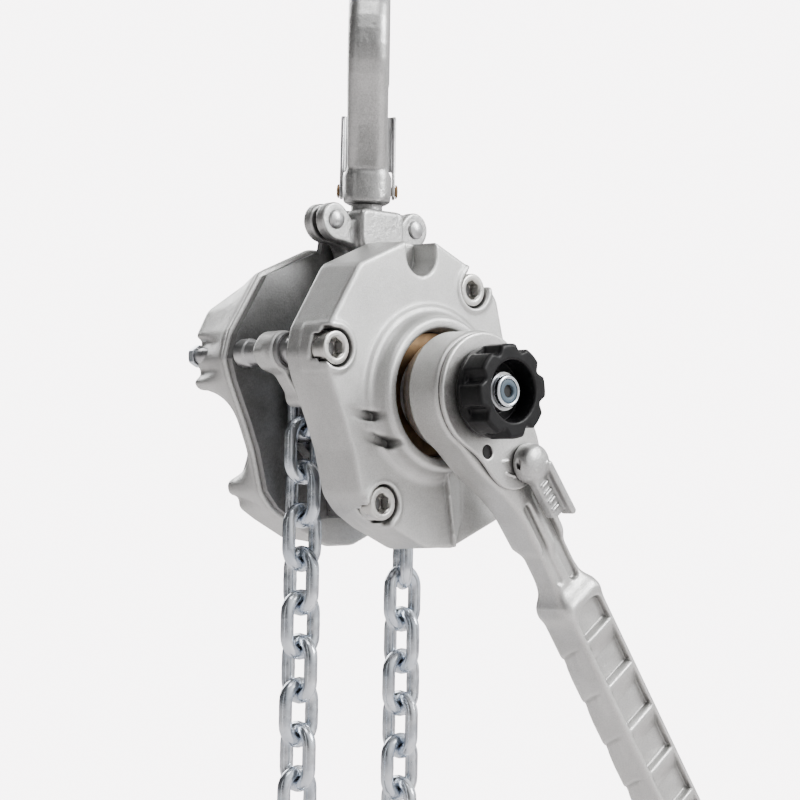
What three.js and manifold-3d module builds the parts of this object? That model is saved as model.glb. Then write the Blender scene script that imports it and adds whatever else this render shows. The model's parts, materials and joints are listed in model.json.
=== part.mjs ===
// Lever chain hoist, 1.5 t class: millimetres, +Z up, lever side towards -Y.
// The object's origin is the saddle of the top hook, where it hangs. Inside the groups below, lengths are
// measured from the centre of the load sheave, whose Y axis the pinion shaft, brake, lever and handwheel
// share. The housing hangs a few degrees off plumb on its suspension pin.
import * as THREE from 'three';
import { mergeVertices } from 'three/addons/utils/BufferGeometryUtils.js';
import Module from 'manifold-3d';

const wasm = await Module();
wasm.setup();

// ---------- driving dimensions ----------
const GAP = 0.3;
const LINK_PITCH = 21;
const LINK_WIRE_R = 3.25;
const LINK_HALF_WIDTH = 11.5;
const JOINED_WIRE_R = 3.3;
const FREE_WIRE_R = 2;
const LINK_BEND_STEPS = 4;
const POCKETS = 5;
const LINK_ANGLE = Math.PI / POCKETS;
const PITCH_R = LINK_PITCH / (2 * Math.sin(LINK_ANGLE / 2));
const LINK_CENTRE_R = PITCH_R * Math.cos(LINK_ANGLE / 2);
const SHEAVE_PHASE = THREE.MathUtils.degToRad(10.2);

const BODY_TILT = THREE.MathUtils.degToRad(3.5);
const LEVER_TILT = THREE.MathUtils.degToRad(36);
const HOOK_TURN = THREE.MathUtils.degToRad(47);

const HOOK_X = 4.6;
const PIN_Z = 60;
const PIN_R = 5.5;

const COVER_FACE_Y = -53.6;
const COVER_FLOOR_Y = -48.6;
const FRONT_BACK_Y = -26.5;
const FRONT_PLATE = [-30.8, -26.8];
const REAR_PLATE = [15, 18.5];
const GEAR_COVER_Y = 18.8;
const GEAR_COVER_STEP_Y = 25;
const GEAR_COVER_BACK_Y = 50;
const DOME_HEIGHT = 3;
const BOSS_RIM_Y = -63.1;
const LEVER_REAR_Y = -67.7;
const LEVER_FACE_Y = -90;
const LEVER_LENGTH = 365;
const KNOB_REAR_Y = -91.5;
const KNOB_FRONT_Y = -108.2;

const SHAFT_R = 7;
const SHAFT_END_Y = 44;
const STAGE_CENTRES = 30;
const STAGE_ANGLE = THREE.MathUtils.degToRad(110) + BODY_TILT;
const PRESSURE_ANGLE = THREE.MathUtils.degToRad(20);

// M10 cover screws; the stay bolts end in M8 threads.
const SCREW_R = 5;
const SCREW_HEAD_R = 8;
const STUD_R = 4;
const STAY_R = 7;

const SCREW_SPOTS = { upper_left: [-58.8, 22.2], upper_right: [30.7, 50.4], lower_right: [58.8, -22.2],
  lower_left: [-32.5, -50.6] };
const STAY_NAMES = ['upper_left', 'upper_right', 'lower_right'];

const HALF_OUTLINE = [[-12, 74.5], [-44, 62.5], [-64.5, 33], [-68.3, 20.5], [-65.5, 10], [-57, -11],
  [-52, -25], [-47.5, -46], [-41, -54.5], [-29, -62.5], [-6, -74]];
const HALF_REAR_OUTLINE = [[-6, 70], [-19.6, 63.8], [-52.9, 44.8], [-60.9, 31.7], [-56.6, 29.2], [-61.9, 20.6],
  [-57.8, 13.6], [-63, 9.6], [-60, 5.6], [-45.3, 4.4], [-39, -1.8], [-33, -15], [-30, -26.4], [-33.6, -35.4],
  [-43.5, -40], [-43, -46.1], [-36.7, -48.1], [-36.3, -53.4], [-27.5, -59.3], [-8.2, -70.2]];

// ---------- materials ----------
const material = (color, roughness, metalness) =>
  new THREE.MeshStandardMaterial({ color, roughness, metalness });
const PAINT = () => material(0xc9c9c7, 0.5, 0.35);
const STEEL = () => material(0x9a9c9e, 0.4, 0.9);
const ZINC = () => material(0xb9c0c8, 0.3, 0.95);
const FORGED = () => material(0xb4b4b2, 0.45, 0.6);
const PLASTIC = () => material(0x1b1b1f, 0.5, 0.0);
const FRICTION = () => material(0x4a3c30, 0.9, 0.0);
const BRONZE = () => material(0x9c7440, 0.45, 0.8);

// ---------- solids ----------
function toSolid(geometry) {
  const bare = geometry.index ? geometry.toNonIndexed() : geometry.clone();
  bare.deleteAttribute('normal');
  bare.deleteAttribute('uv');
  const merged = mergeVertices(bare, 1e-4);
  const vertProperties = new Float32Array(merged.attributes.position.array);
  const triVerts = new Uint32Array(merged.index.array);
  return new wasm.Manifold(new wasm.Mesh({ numProp: 3, vertProperties, triVerts }));
}

function toGeometry(solid) {
  const mesh = solid.getMesh();
  const geometry = new THREE.BufferGeometry();
  geometry.setAttribute('position', new THREE.BufferAttribute(new Float32Array(mesh.vertProperties), 3));
  geometry.setIndex(new THREE.BufferAttribute(new Uint32Array(mesh.triVerts), 1));
  geometry.computeVertexNormals();
  return geometry;
}

const joinAll = (solids) => solids.reduce((sum, solid) => sum.add(solid));
const cutAll = (solid, cutters) => cutters.reduce((left, cutter) => left.subtract(cutter), solid);
const halfTurn = (points) => points.map(([x, z]) => [-x, -z]);
const scaled = (points, factor) => points.map(([x, z]) => [x * factor, z * factor]);
const polar = (radius, angle) => [radius * Math.cos(angle), radius * Math.sin(angle)];
const degrees = THREE.MathUtils.radToDeg;

// The point (x, z) turned about Y; a positive angle takes +X towards +Z.
function aboutY(x, z, angle) {
  const cos = Math.cos(angle);
  const sin = Math.sin(angle);
  return [x * cos - z * sin, x * sin + z * cos];
}

// A prism along Y of an outline given in X and Z.
function prism(points, y0, y1) {
  const shape = new THREE.Shape(points.map(([x, z]) => new THREE.Vector2(x, z)));
  const geometry = new THREE.ExtrudeGeometry(shape, { depth: y1 - y0, bevelEnabled: false });
  geometry.rotateX(Math.PI / 2);
  geometry.translate(0, y1, 0);
  return toSolid(geometry);
}

// A round bar along Y at (x, z).
function bar(x, z, radius, y0, y1, segments = 12) {
  const geometry = new THREE.CylinderGeometry(radius, radius, y1 - y0, segments);
  geometry.translate(x, (y0 + y1) / 2, z);
  return toSolid(geometry);
}

// A turned piece about the Y axis; the profile is a closed loop of [radius, y] pairs.
function turned(profile, segments = 16) {
  const points = profile.map(([r, y]) => new THREE.Vector2(r, y));
  if (THREE.ShapeUtils.area(points) < 0) points.reverse();
  return toSolid(new THREE.LatheGeometry([...points, points[0]], segments));
}

function ring(inner, outer, y0, y1, segments = 16) {
  return turned([[inner, y0], [outer, y0], [outer, y1], [inner, y1]], segments);
}

function box(x0, x1, y0, y1, z0, z1) {
  const geometry = new THREE.BoxGeometry(x1 - x0, y1 - y0, z1 - z0);
  geometry.translate((x0 + x1) / 2, (y0 + y1) / 2, (z0 + z1) / 2);
  return toSolid(geometry);
}

// A round bar along Z at (x, 0).
function post(x, radius, z0, z1, segments = 20) {
  const geometry = new THREE.CylinderGeometry(radius, radius, z1 - z0, segments);
  geometry.rotateX(Math.PI / 2);
  geometry.translate(x, 0, (z0 + z1) / 2);
  return toSolid(geometry);
}

function arcPoints(cx, cz, radius, startDeg, endDeg, steps) {
  return Array.from({ length: steps + 1 }, (_, i) => {
    const angle = THREE.MathUtils.degToRad(startDeg + (endDeg - startDeg) * i / steps);
    return [cx + radius * Math.cos(angle), cz + radius * Math.sin(angle)];
  });
}

// ---------- groups ----------
const hoist = new THREE.Group();
const housing = new THREE.Group();
housing.rotation.y = -BODY_TILT;
const lever = new THREE.Group();
lever.rotation.y = -LEVER_TILT;
const topHook = new THREE.Group();
topHook.position.set(HOOK_X, 0, 0);
topHook.rotation.z = HOOK_TURN;
const yoke = new THREE.Group();
yoke.position.set(HOOK_X, 0, 0);
hoist.add(housing, lever, topHook, yoke);

function place(parent, name, solid, look) {
  const mesh = new THREE.Mesh(toGeometry(solid), look);
  mesh.name = name;
  parent.add(mesh);
  return mesh;
}

// ---------- gears ----------
const involute = (angle) => Math.tan(angle) - angle;

// One involute gear outline; the first tooth is centred at the phase angle.
function gearOutline({ teeth, module, rootR, tipR }, phase) {
  const pitchR = teeth * module / 2;
  const baseR = pitchR * Math.cos(PRESSURE_ANGLE);
  const halfTooth = (Math.PI * module / 4 - 0.12) / pitchR;
  const halfAngle = (r) => halfTooth + involute(PRESSURE_ANGLE) - involute(Math.acos(Math.min(1, baseR / r)));
  const radii = teeth < 12 ? [rootR, baseR, (pitchR + tipR) / 2, tipR] : [rootR, tipR];
  const points = [];
  for (let tooth = 0; tooth < teeth; tooth += 1) {
    const centre = phase + tooth * 2 * Math.PI / teeth;
    for (const r of radii) points.push([r, centre - halfAngle(r)]);
    for (const r of [...radii].reverse()) points.push([r, centre + halfAngle(r)]);
  }
  return points.map(([r, angle]) => polar(r, angle));
}

const WHEEL = { module: 1.5, teeth: 32, rootR: 22.2, tipR: 24.7, y0: 30.8, y1: 36.6 };
const PINION = { module: 1.5, teeth: 8, rootR: 4.9, tipR: 7.4, y0: 30.4, y1: 37 };
const LOAD_GEAR = { module: 4 / 3, teeth: 36, rootR: 22.3, tipR: 24.7, y0: 20.5, y1: 29 };
const SMALL_PINION = { module: 4 / 3, teeth: 9, rootR: 4.9, tipR: 7.2, y0: 20, y1: 29.6 };

const cutGear = (gear, phase) =>
  prism(gearOutline(gear, phase), gear.y0, gear.y1);

function loadGear() {
  return cutGear(LOAD_GEAR, STAGE_ANGLE).subtract(bar(0, 0, 12 + GAP, 19, 30, 20));
}

function pinionShaft() {
  const profile = [[0, -103.4], [5.5, -103.4], [5.5, -88], [SHAFT_R, -88], [SHAFT_R, 30], [4.7, 30.4],
    [4.7, SHAFT_END_Y], [0, SHAFT_END_Y]];
  const shaft = turned(profile, 20);
  return shaft.add(cutGear(PINION, STAGE_ANGLE));
}

function intermediateGear(side) {
  const towardsAxis = STAGE_ANGLE + (side > 0 ? Math.PI : 0);
  const wheel = cutGear(WHEEL, towardsAxis + Math.PI / WHEEL.teeth);
  const pinion = cutGear(SMALL_PINION, towardsAxis + Math.PI / SMALL_PINION.teeth);
  const shaft = bar(0, 0, 4.5, REAR_PLATE[0] + GAP, SHAFT_END_Y);
  const [x, z] = aboutY(side * STAGE_CENTRES, 0, STAGE_ANGLE);
  return joinAll([wheel, pinion, shaft]).translate([x, 0, z]);
}

// ---------- load sheave and chain ----------
function loadSheave() {
  const profile = [[8, -31.2], [14, -31.2], [14, -14], [30, -14], [39, -11], [39, -4.2], [20, -4.2],
    [20, 4.2], [39, 4.2], [39, 11], [30, 14], [14, 14], [14, 19.2], [12, 19.2], [12, 29.4], [8, 29.4]];
  const pockets = Array.from({ length: POCKETS }, (_, i) => {
    const angle = Math.PI + SHEAVE_PHASE + i * 2 * LINK_ANGLE;
    const pocket = box(26.2, 60, -12.4, 12.4, -17.8, 17.8);
    return pocket.rotate([0, -degrees(angle), 0]);
  });
  return cutAll(turned(profile, 20), pockets);
}

// Half of a chain link's centre line, in the XZ plane: up one side, round the bend and down the other.
// A whole parameter step goes to each straight and to each facet of the bend.
class LinkHalf extends THREE.Curve {
  constructor() {
    super();
    const bendR = LINK_HALF_WIDTH - LINK_WIRE_R;
    const bendZ = LINK_PITCH / 2 + LINK_WIRE_R - bendR;
    const bend = arcPoints(0, bendZ, bendR, 0, 180, LINK_BEND_STEPS);
    this.corners = [[bendR, 0], ...bend, [-bendR, 0]];
  }

  getPoint(t, target = new THREE.Vector3()) {
    const steps = this.corners.length - 1;
    const index = Math.min(Math.floor(t * steps), steps - 1);
    const [x0, z0] = this.corners[index];
    const [x1, z1] = this.corners[index + 1];
    const share = t * steps - index;
    return target.set(x0 + (x1 - x0) * share, 0, z0 + (z1 - z0) * share);
  }

  getPointAt(u, target) {
    return this.getPoint(u, target);
  }

  getTangentAt(u, target) {
    return this.getTangent(u, target);
  }
}

// One chain link in the XZ plane, long way along Z.
function link(wireR = LINK_WIRE_R) {
  const corners = arcPoints(0, 0, wireR, 0, 270, 3).map(([x, y]) => new THREE.Vector2(x, y));
  const section = new THREE.Shape(corners);
  const extrudePath = new LinkHalf();
  const steps = extrudePath.corners.length - 1;
  const half = toSolid(new THREE.ExtrudeGeometry(section, { steps, bevelEnabled: false, extrudePath }));
  return half.add(half.rotate([0, 180, 0]));
}

// Links joined end to end: link i hangs i pitches below z, turned by turnOf(i) degrees about Z.
function hangingLinks(x, z, count, turnOf) {
  const links = Array.from({ length: count }, (_, i) =>
    link(JOINED_WIRE_R).rotate([0, 0, turnOf(i)]).translate([x, 0, z - i * LINK_PITCH]));
  return joinAll(links);
}

// The links that lie on the sheave, between the two links that leave it.
function wrappedChain() {
  const links = Array.from({ length: POCKETS - 1 }, (_, i) => {
    const angle = SHEAVE_PHASE + (i + 1) * LINK_ANGLE;
    const flat = i % 2 === 0;
    return link(JOINED_WIRE_R).rotate([0, 0, flat ? 90 : 0]).translate([LINK_CENTRE_R, 0, 0])
      .rotate([0, -degrees(angle), 0]);
  });
  return joinAll(links);
}

const LEAVE_X = PITCH_R * Math.cos(SHEAVE_PHASE);
const LEAVE_Z = PITCH_R * Math.sin(SHEAVE_PHASE);
const LOAD_LINKS = 10;
const SLACK_LINKS = 11;
const TWIST_START = 3;
const TWIST_STEPS = 3;
const TWIST_STEP_DEG = 30;
const loadTransit = () => link(FREE_WIRE_R).rotate([0, 0, 90]).translate([-LEAVE_X, 0, -LEAVE_Z]);
const slackTransit = () => link(FREE_WIRE_R).translate([LEAVE_X, 0, LEAVE_Z]);
const loadFall = () => hangingLinks(-LEAVE_X, -LEAVE_Z - LINK_PITCH, LOAD_LINKS, (i) => 90 * (i % 2));

// The slack chain turns a quarter round as it hangs, over a few links.
function slackTurn(i) {
  const twisted = THREE.MathUtils.clamp(i + 2 - TWIST_START, 0, TWIST_STEPS);
  return 90 * (i + 1) + TWIST_STEP_DEG * twisted;
}

const slackFall = () => hangingLinks(LEAVE_X, LEAVE_Z - LINK_PITCH, SLACK_LINKS, slackTurn);
const LOAD_END_Z = -LEAVE_Z - LINK_PITCH * LOAD_LINKS;
const SLACK_END_Z = LEAVE_Z - LINK_PITCH * SLACK_LINKS;

// A stop ring that keeps the slack end from running through the sheave; it hangs on the last slack link.
function slackEndRing() {
  const wire = 2.6;
  const ringR = 13;
  const centreZ = SLACK_END_Z - LINK_PITCH / 2 + wire + 0.4 - ringR;
  const torus = new THREE.TorusGeometry(ringR, wire, 6, 16);
  torus.rotateX(Math.PI / 2);
  const turn = slackTurn(SLACK_LINKS - 1) + 90;
  return toSolid(torus).rotate([0, 0, turn]).translate([LEAVE_X, 0, centreZ]);
}

// ---------- housing ----------
const OUTLINE = [...HALF_OUTLINE, ...halfTurn(HALF_OUTLINE)];
const REAR_OUTLINE = [...HALF_REAR_OUTLINE, ...halfTurn(HALF_REAR_OUTLINE)];
const spots = Object.values(SCREW_SPOTS);
const staySpots = STAY_NAMES.map((name) => SCREW_SPOTS[name]);
const PIN_SPOT = aboutY(HOOK_X, PIN_Z, -BODY_TILT);
const stageSpot = (side) => aboutY(side * STAGE_CENTRES, 0, STAGE_ANGLE - BODY_TILT);

// A round pocket for a screw head, open on the side that faces away from the centre.
function openPocket([x, z]) {
  const radius = 9.5;
  const depth = 10;
  const y1 = COVER_FACE_Y + depth;
  const angle = Math.atan2(z, x);
  const mouth = box(0, 30, COVER_FACE_Y - 1, y1, -radius, radius)
    .rotate([0, -degrees(angle), 0]).translate([x, 0, z]);
  return bar(x, z, radius, COVER_FACE_Y - 1, y1, 16).add(mouth);
}

function brakeCover() {
  const cavityR = 47;
  const shell = prism(OUTLINE, COVER_FACE_Y, FRONT_BACK_Y);
  const boss = turned([[30, COVER_FLOOR_Y], [40, COVER_FACE_Y - 0.01], [37, BOSS_RIM_Y + 2],
    [35.5, BOSS_RIM_Y], [34, BOSS_RIM_Y], [30, BOSS_RIM_Y + 6]], 24);
  const cuts = [
    bar(0, 0, cavityR, COVER_FLOOR_Y, FRONT_PLATE[0] - GAP + 1, 24),
    prism(scaled(OUTLINE, 0.93), FRONT_PLATE[0] - GAP, FRONT_BACK_Y + 1),
    turned([[0, COVER_FLOOR_Y + 1], [17, COVER_FLOOR_Y + 1], [17, COVER_FACE_Y + 1], [31, COVER_FACE_Y],
      [34, BOSS_RIM_Y - 0.5], [0, BOSS_RIM_Y - 0.5]], 24),
    bar(-3.8, 66, 9.6, COVER_FACE_Y - 1, COVER_FACE_Y + 16, 16),
    box(-13.4, 5.8, COVER_FACE_Y - 1, COVER_FACE_Y + 16, 66, 90),
    ...spots.map(openPocket),
    ...spots.map((spot) => bar(...spot, SCREW_R + GAP, COVER_FACE_Y, FRONT_BACK_Y + 1, 8)),
  ];
  return cutAll(shell.add(boss), cuts);
}

function coverScrew(spot, endY) {
  const headRear = COVER_FACE_Y + 9.6;
  const head = bar(...spot, SCREW_HEAD_R, COVER_FACE_Y + 0.6, headRear, 12);
  const shank = bar(...spot, SCREW_R, headRear - 0.5, endY, 8);
  const socket = bar(...spot, 4.6, COVER_FACE_Y, COVER_FACE_Y + 5.6, 6);
  return head.add(shank).subtract(socket);
}

function brakeSidePlate() {
  const cuts = [bar(0, 0, 19, -40, -20, 20), bar(...PIN_SPOT, PIN_R + GAP, -40, -20),
    ...spots.map((spot) => bar(...spot, SCREW_R + GAP, -40, -20, 8)),
    ...PAWL_SPOTS.map((spot) => bar(...spot, PAWL_STUD_R + GAP, -40, -20, 12))];
  return cutAll(prism(scaled(OUTLINE, 0.923), ...FRONT_PLATE), cuts);
}

function gearSidePlate() {
  const bottomZ = -59.5;
  const lug = prism([[-10, 60], [18, 60], [14, 79], [-6, 79]], ...REAR_PLATE);
  const cuts = [bar(0, 0, 19, 10, 25, 20), bar(...PIN_SPOT, PIN_R + GAP, 10, 25),
    ...staySpots.map((spot) => bar(...spot, STUD_R + GAP, 10, 25, 8)),
    ...[1, -1].map((side) => bar(...stageSpot(side), 4.9, 10, 25)),
    box(-90, 90, 10, 25, -90, bottomZ)];
  return cutAll(prism(scaled(OUTLINE, 0.965), ...REAR_PLATE).add(lug), cuts);
}

function gearCover() {
  const flange = prism(scaled(OUTLINE, 0.965), GEAR_COVER_Y, GEAR_COVER_STEP_Y);
  const block = prism(REAR_OUTLINE, GEAR_COVER_STEP_Y - 1, GEAR_COVER_BACK_Y);
  const domes = [[0, 0], stageSpot(1), stageSpot(-1)].map((spot) =>
    bar(...spot, 13, GEAR_COVER_BACK_Y - 1, GEAR_COVER_BACK_Y + DOME_HEIGHT, 16));
  const cuts = [bar(0, 0, 27.4, GEAR_COVER_Y - 1, 38, 20), bar(0, 0, 5.1, 30, SHAFT_END_Y + 1),
    bar(...PIN_SPOT, PIN_R + 1.5, GEAR_COVER_Y - 1, 23, 16),
    ...[1, -1].map((side) => bar(...stageSpot(side), 26.6, GEAR_COVER_Y - 1, 38, 20)),
    ...[1, -1].map((side) => bar(...stageSpot(side), 4.9, 30, SHAFT_END_Y + 1)),
    ...staySpots.map((spot) => bar(...spot, STUD_R + GAP, GEAR_COVER_Y - 1, 60, 8))];
  return cutAll(joinAll([flange, block, ...domes]), cuts);
}

// A stay bolt that holds the side plates apart; its front end takes the cover screw.
function stayBolt(spot) {
  const spacer = bar(...spot, STAY_R, FRONT_PLATE[1] + GAP, REAR_PLATE[0] - GAP, 12);
  const threaded = bar(...spot, STUD_R, REAR_PLATE[0] - 1, GEAR_COVER_BACK_Y + 7.5, 8);
  return spacer.add(threaded).subtract(bar(...spot, SCREW_R + GAP, FRONT_PLATE[1], -15, 8));
}

const stayNut = (spot) => cutAll(bar(...spot, 7.2, GEAR_COVER_BACK_Y + GAP, GEAR_COVER_BACK_Y + 6.3, 6),
  [bar(...spot, STUD_R + GAP, 40, 70, 8)]);

const suspensionPin = () => bar(...PIN_SPOT, PIN_R, FRONT_PLATE[0], REAR_PLATE[1] + 3, 20);

// The casting on the upper left stay that keeps the load chain in the sheave.
function chainGuide() {
  const [x, z] = SCREW_SPOTS.upper_left;
  const outline = [...arcPoints(x, z, 9.5, -20, 150, 6), [x - 13, z + 2], [x - 6, z - 9], [-54, -6], [-51, -9],
    [-47.5, -7], [-47.8, 6]];
  return prism(outline, -12.5, 13.5).subtract(bar(x, z, STAY_R + GAP, -20, 20));
}

// The finger under the sheave that lifts each link out of its pocket.
function chainStripper() {
  const finger = prism([[-5, -38], [5, -38], [8, -55], [-8, -55]], -2.6, 2.6);
  const foot = box(-8, 8, FRONT_PLATE[1] + GAP, REAR_PLATE[0] - GAP, -58.5, -50);
  return finger.add(foot);
}

const sheaveBearing = ([y0, y1]) => ring(14 + GAP, 19 - GAP, y0 - 0.2, y1 + 0.2, 20);

// ---------- load brake ----------
const PAWL_STUD_R = 3;
const PAWL_SPOTS = [[0, 40], [0, -40]];
const RATCHET = { teeth: 12, rootR: 23, tipR: 26.5, y0: -41.9, y1: -38.6 };

function discHub() {
  return turned([[SHAFT_R + GAP, -44.6], [10.5, -44.6], [10.5, -35.2], [24, -35.2], [24, -31.9],
    [SHAFT_R + GAP, -31.9]], 16);
}

const frictionDisc = (y0, y1) => ring(10.8, 24, y0, y1, 16);

function ratchetDisc() {
  const points = [];
  for (let i = 0; i < RATCHET.teeth; i += 1) {
    const angle = i * 2 * Math.PI / RATCHET.teeth + Math.PI / 2;
    const step = 2 * Math.PI / RATCHET.teeth;
    points.push([RATCHET.rootR, angle], [RATCHET.tipR, angle + 0.04], [RATCHET.tipR, angle + 0.12]);
    points.push([RATCHET.rootR + 0.6, angle + step * 0.85]);
  }
  const outline = points.map(([r, angle]) => polar(r, angle));
  return prism(outline, RATCHET.y0, RATCHET.y1).subtract(bar(0, 0, 10.8, -45, -35, 20));
}

// A brake pawl on its stud, nose against the ratchet disc; the lower one is the upper one turned half round.
function brakePawl() {
  const [x, z] = PAWL_SPOTS[0];
  const nose = prism([[x - 4.5, z - 3], [x - 4, z + 4], [x + 4, z + 4.5], [x + 5, z - 3], [x - 8, z - 12.5],
    [x - 10, z - 12]], RATCHET.y0 + 0.2, RATCHET.y1 - 0.2);
  return nose.subtract(bar(x, z, PAWL_STUD_R + GAP, -45, -35, 12));
}

const pawlStud = () => bar(...PAWL_SPOTS[0], PAWL_STUD_R, -44, FRONT_PLATE[1], 12);
const turnedHalf = (solid) => solid.rotate([0, 180, 0]);

// ---------- lever ----------
const CHANGE = { teeth: 12, rootR: 17, tipR: 21, y0: -86, y1: -71 };
const SELECTOR_SPOT = [3, -42];
const SELECTOR_ANGLE = Math.atan2(SELECTOR_SPOT[1], SELECTOR_SPOT[0]);

function changeGear() {
  const points = [];
  const step = 2 * Math.PI / CHANGE.teeth;
  for (let i = 0; i < CHANGE.teeth; i += 1) {
    const centre = SELECTOR_ANGLE + i * step;
    points.push([CHANGE.rootR, centre - 0.17], [CHANGE.tipR, centre - 0.09]);
    points.push([CHANGE.tipR, centre + 0.09], [CHANGE.rootR, centre + 0.17]);
  }
  const toothed = prism(points.map(([r, angle]) => polar(r, angle)), CHANGE.y0, CHANGE.y1);
  const flange = turned([[0, -47.8], [24, -47.8], [24, -45], [0, -45]], 16);
  const sleeve = bar(0, 0, 13, CHANGE.y1 - 1, -47, 20);
  const nose = bar(0, 0, 9, -102, CHANGE.y0 + 1, 20);
  return joinAll([toothed, flange, sleeve, nose]).subtract(bar(0, 0, SHAFT_R + GAP, -110, -40, 20));
}

const HEAD_R = 29;
const GRIP_START = 116;
// The grip's back is an open channel.
const CHANNEL_HALF = 9.8;
const CHANNEL_DEPTH = 13;

function leverHeadOutline(inset) {
  const r = HEAD_R - inset;
  const neck = 9.5 - inset;
  return [...arcPoints(0, 0, r, -28, 208, 18), [-19 + inset, -60], [-neck, -86 + inset], [neck, -86 + inset],
    [19 - inset, -60]];
}

function leverHousing() {
  const faceY = LEVER_FACE_Y + 3;
  const head = prism(leverHeadOutline(0), faceY, LEVER_REAR_Y);
  const barrel = [[0, LEVER_REAR_Y + 9], [26, LEVER_REAR_Y + 9], [28, LEVER_REAR_Y - 1],
    [0, LEVER_REAR_Y - 1]];
  const hub = turned(barrel, 28);
  const neckOutline = [[-9.5, -80], [-9.5, -106], [-13.5, -120], [13.5, -120], [9.5, -106], [9.5, -80]];
  const neck = prism(neckOutline, -86.5, -71);
  const grip = prism([[-13, -GRIP_START], [-13, -LEVER_LENGTH + 8], [-7, -LEVER_LENGTH], [7, -LEVER_LENGTH],
    [13, -LEVER_LENGTH + 8], [13, -GRIP_START]], LEVER_FACE_Y, LEVER_REAR_Y - 0.3);
  const gripBack = prism([[-CHANNEL_HALF, -GRIP_START - 10], [-CHANNEL_HALF, -LEVER_LENGTH + 12],
    [CHANNEL_HALF, -LEVER_LENGTH + 12], [CHANNEL_HALF, -GRIP_START - 10]], LEVER_REAR_Y - CHANNEL_DEPTH,
    LEVER_REAR_Y + 1);
  const chamber = bar(0, 0, 24, faceY - 1, LEVER_REAR_Y - 2.5, 28);
  const pawlRoom = prism([[-6, -51], [12, -51], [20.5, -32], [20.5, -14], [-17, -14], [-17, -32]], faceY - 1,
    LEVER_REAR_Y - 2.5);
  const bore = bar(0, 0, 13.5, LEVER_REAR_Y - 4, LEVER_REAR_Y + 12, 24);
  return cutAll(joinAll([head, hub, neck, grip]), [gripBack, chamber, pawlRoom, bore]);
}

function leverFrontPlate() {
  const rear = LEVER_FACE_Y + 3 - GAP;
  const outline = [...arcPoints(0, 0, 27.5, -35, 215, 18), ...arcPoints(0, -36, 15, 200, 340, 8)];
  const cuts = [bar(0, 0, 9 + 2 * GAP, -100, -80, 20), bar(...SELECTOR_SPOT, 3.8, -100, -80, 12),
    bar(-14, -24, 3, -100, -80, 12)];
  return cutAll(prism(outline, LEVER_FACE_Y, rear), cuts);
}

// The pawl points up at the change gear with one nose on each side of centre.
function changePawl() {
  const noseDeg = 28;
  const spot = (deg, r) => polar(r, THREE.MathUtils.degToRad(90 + deg));
  const corners = [[noseDeg + 8, 20], [noseDeg, 23], [noseDeg - 9, 19]];
  const nose = (side) => corners.map(([deg, r]) => spot(side * deg, r));
  const outline = [[-5, -7], [5, -7], [8, 4], ...nose(-1), [0, 14], ...nose(1).reverse(), [-8, 4]];
  const turn = degrees(-(SELECTOR_ANGLE + Math.PI / 2));
  const pawl = prism(outline, CHANGE.y0, CHANGE.y1 - 1).rotate([0, turn, 0]);
  const bore = bar(0, 0, 3.5 + GAP, -100, -60, 12);
  return pawl.subtract(bore).translate([SELECTOR_SPOT[0], 0, SELECTOR_SPOT[1]]);
}

function selector() {
  const [x, z] = SELECTOR_SPOT;
  const seatY = LEVER_FACE_Y - GAP;
  const dome = [[0, -100], [5, -99.3], [8.5, -97], [9.5, -94], [9.5, seatY], [0, seatY]];
  const hub = turned(dome, 20).translate([x, 0, z]);
  const arm = prism([[x - 5.5, z], [x - 4.5, z - 30], [x + 4.5, z - 30], [x + 5.5, z]], -97.5, -91.5);
  const fin = prism([[x - 1.2, z], [x - 1.2, z - 29], [x + 1.2, z - 29], [x + 1.2, z]], -101, -97);
  return joinAll([hub, arm, fin, bar(x, z, 3.5, LEVER_FACE_Y - 1, -71, 12)]);
}

function handwheel() {
  const lobes = 8;
  const perLobe = 4;
  const outline = Array.from({ length: lobes * perLobe }, (_, i) => {
    const angle = i * 2 * Math.PI / (lobes * perLobe);
    const r = 20.7 + 1.3 * Math.cos(lobes * angle);
    return polar(r, angle);
  });
  const body = prism(outline, KNOB_FRONT_Y, -94);
  const base = bar(0, 0, 21.3, -95, KNOB_REAR_Y, 24);
  const recess = bar(0, 0, 14.5, KNOB_FRONT_Y - 1, -97, 24);
  return cutAll(body.add(base), [recess, bar(0, 0, 9 + GAP, -120, -80, 20)]);
}

const retainingNut = () => ring(5.5 + GAP, 7.5, -104.7, -102.3, 20);

// ---------- hooks and their yokes ----------
const COLLAR_Z = 97;
const COLLAR_R = 11.5;
const STEM_R = 7.8;
const BUTTON_R = 10.8;
const BUTTON_H = 7;
const STEM_L = 12.2;
const HOOK_HALF = 10;
const BOWL = [0, 73];
const BOWL_R = 20;
const SADDLE_Z = COLLAR_Z + BOWL[1] + BOWL_R * Math.cos(Math.PI / 12);
const LATCH_PIVOT = [9, 7];

// The hook's side outline: shank on the Z axis, bowl above it, throat towards +X.
function hookOutline() {
  const inner = arcPoints(...BOWL, BOWL_R, 225, -15, 8);
  const tip = [[18.5, 54], [21, 46.5], [26, 45], [33, 52]];
  const outer = arcPoints(...BOWL, 42, -18, 212, 9);
  return [[COLLAR_R, 0], [COLLAR_R, 10], [2, 24], [-9, 40], ...inner, ...tip, ...outer, [-25, 34],
    [-COLLAR_R, 15], [-COLLAR_R, 0]];
}

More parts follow.
